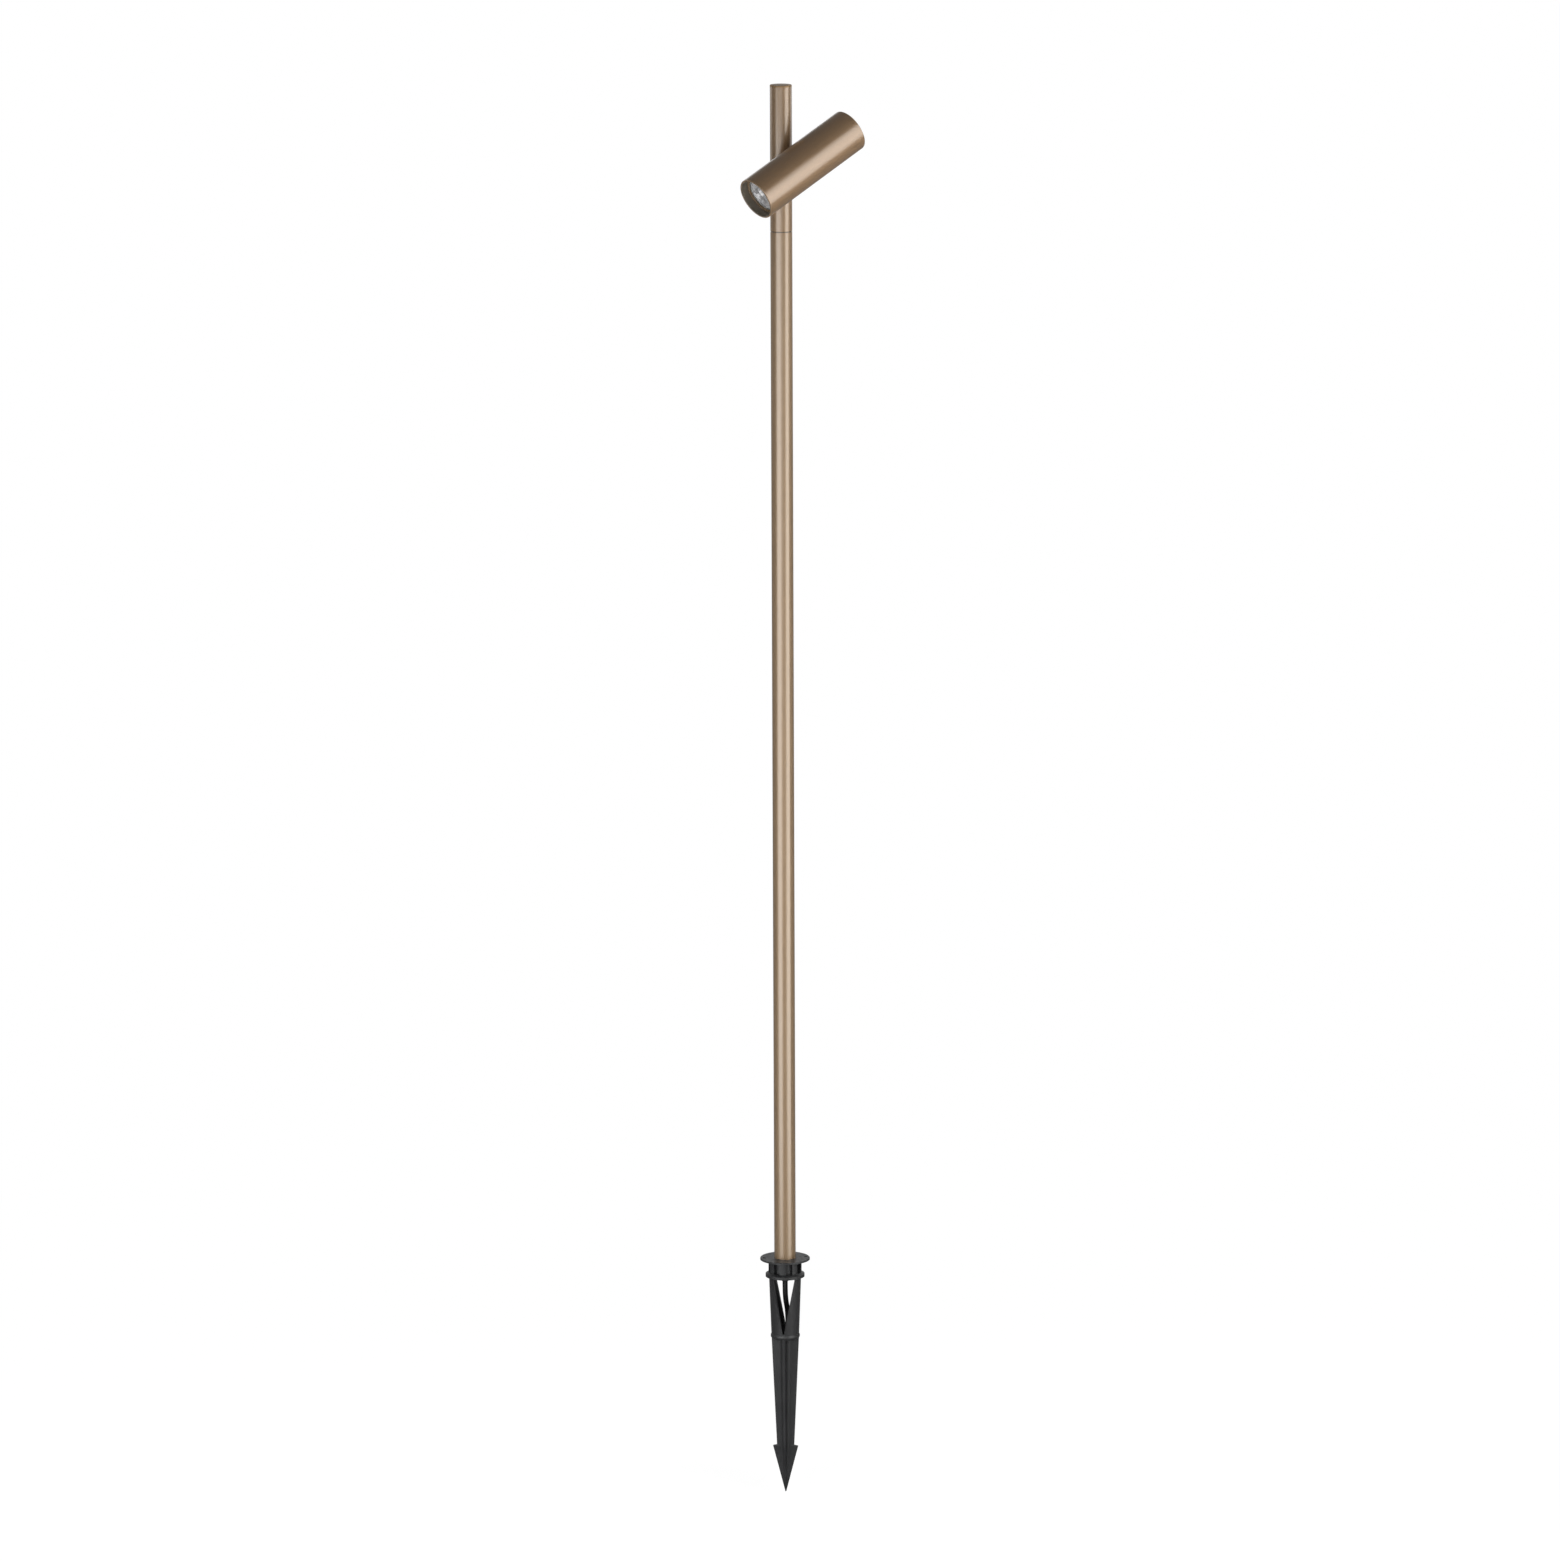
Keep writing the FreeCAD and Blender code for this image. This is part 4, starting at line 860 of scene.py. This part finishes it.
def stage_floor():
    """White floor that keeps the object's shadow near its foot."""
    z = SPIKE_TIP - FLOOR_BELOW
    corners = [(-FLOOR_HALF, -FLOOR_HALF, z), (FLOOR_HALF, -FLOOR_HALF, z),
               (FLOOR_HALF, FLOOR_HALF, z), (-FLOOR_HALF, FLOOR_HALF, z)]
    data = bpy.data.meshes.new("floor")
    data.from_pydata(corners, [], [(0, 1, 2, 3)])
    floor = bpy.data.objects.new("floor", data)
    scene.collection.objects.link(floor)
    n = Nodes("floor_white")
    length = n.add("ShaderNodeVectorMath", operation="LENGTH")
    n.link(n.place, length.inputs[0])
    distance = length.outputs["Value"]
    seen = n.add("ShaderNodeLightPath").outputs
    mirrored = n.combined("MAXIMUM", seen["Is Glossy Ray"], seen["Is Transmission Ray"])
    glow = n.add("ShaderNodeEmission")
    glow_strength = n.add("ShaderNodeMix", data_type="FLOAT")
    n.link(mirrored, glow_strength.inputs["Factor"])
    n.link(n.spread(distance, FLOOR_SHEEN, ROOM, SHEEN_NEAR, SHEEN_FAR), glow_strength.inputs["B"])
    n.link(n.spread(distance, FLOOR_WHITE, 1.0, FLOOR_NEAR, FLOOR_FAR), glow_strength.inputs["A"])
    n.link(glow_strength.outputs["Result"], glow.inputs["Strength"])
    diffuse = n.add("ShaderNodeBsdfDiffuse")
    diffuse.inputs["Color"].default_value = (FLOOR_COLOUR, FLOOR_COLOUR, FLOOR_COLOUR, 1.0)
    glow_share = n.spread(distance, FLOOR_GLOW, 1.0, FLOOR_NEAR, FLOOR_FAR)
    shown = n.combined("MULTIPLY", seen["Is Camera Ray"], glow_share)
    mix = n.add("ShaderNodeMixShader")
    n.link(n.combined("MAXIMUM", shown, mirrored), mix.inputs["Fac"])
    n.link(diffuse.outputs["BSDF"], mix.inputs[1])
    n.link(glow.outputs["Emission"], mix.inputs[2])
    n.link(mix.outputs["Shader"], n.output.inputs["Surface"])
    data.materials.append(n.material)


def softbox(name, low, high, width, radiance, colour):
    """A rectangular light facing the post, from a low middle to a high one."""
    ends = []
    for azimuth, distance, height in (low, high):
        angle = math.radians(azimuth)
        way = TO_CAMERA * math.cos(angle) + IMAGE_RIGHT * math.sin(angle)
        ends.append(way * distance + UP * height)
    along = ends[1] - ends[0]
    middle = (ends[0] + ends[1]) / 2
    axis_y = along.normalized()
    outward = Vector((middle.x, middle.y, 0.0))
    axis_z = (outward - axis_y * outward.dot(axis_y)).normalized()
    data = bpy.data.lights.new(name, "AREA")
    data.shape = "RECTANGLE"
    data.size = width
    data.size_y = along.length
    data.energy = radiance * math.pi * width * along.length
    data.color = colour
    light = bpy.data.objects.new(name, data)
    light.visible_camera = False
    scene.collection.objects.link(light)
    turn = Matrix((axis_y.cross(axis_z), axis_y, axis_z)).transposed().to_4x4()
    light.matrix_world = Matrix.Translation(middle) @ turn


def studio_world():
    """Dim room, with a white wall behind the object, which the camera sees and gloss reflects."""
    scene.world = bpy.data.worlds.new("studio")
    n = Tree(scene.world, "ShaderNodeOutputWorld")
    background = n.add("ShaderNodeBackground")
    background.inputs["Color"].default_value = (*WHITE, 1.0)
    dot = n.add("ShaderNodeVectorMath", operation="DOT_PRODUCT")
    dot.inputs[1].default_value = tuple(-TO_CAMERA)
    n.link(n.add("ShaderNodeTexCoord").outputs["Generated"], dot.inputs[0])
    wall = n.spread(dot.outputs["Value"], 0.0, 1.0,
                    math.cos(WALL_HALF_ANGLE + WALL_EDGE), math.cos(WALL_HALF_ANGLE - WALL_EDGE))
    seen = n.add("ShaderNodeLightPath").outputs
    shiny = n.combined("MAXIMUM", seen["Is Glossy Ray"], seen["Is Transmission Ray"])
    white = n.combined("MAXIMUM", seen["Is Camera Ray"], n.combined("MULTIPLY", shiny, wall))
    n.link(n.spread(white, ROOM, 1.0, 0.0, 1.0), background.inputs["Strength"])
    n.link(background.outputs["Background"], n.output.inputs["Surface"])


stage_floor()
studio_world()
for values in SOFTBOXES:
    softbox(*values)

bpy.context.view_layer.update()
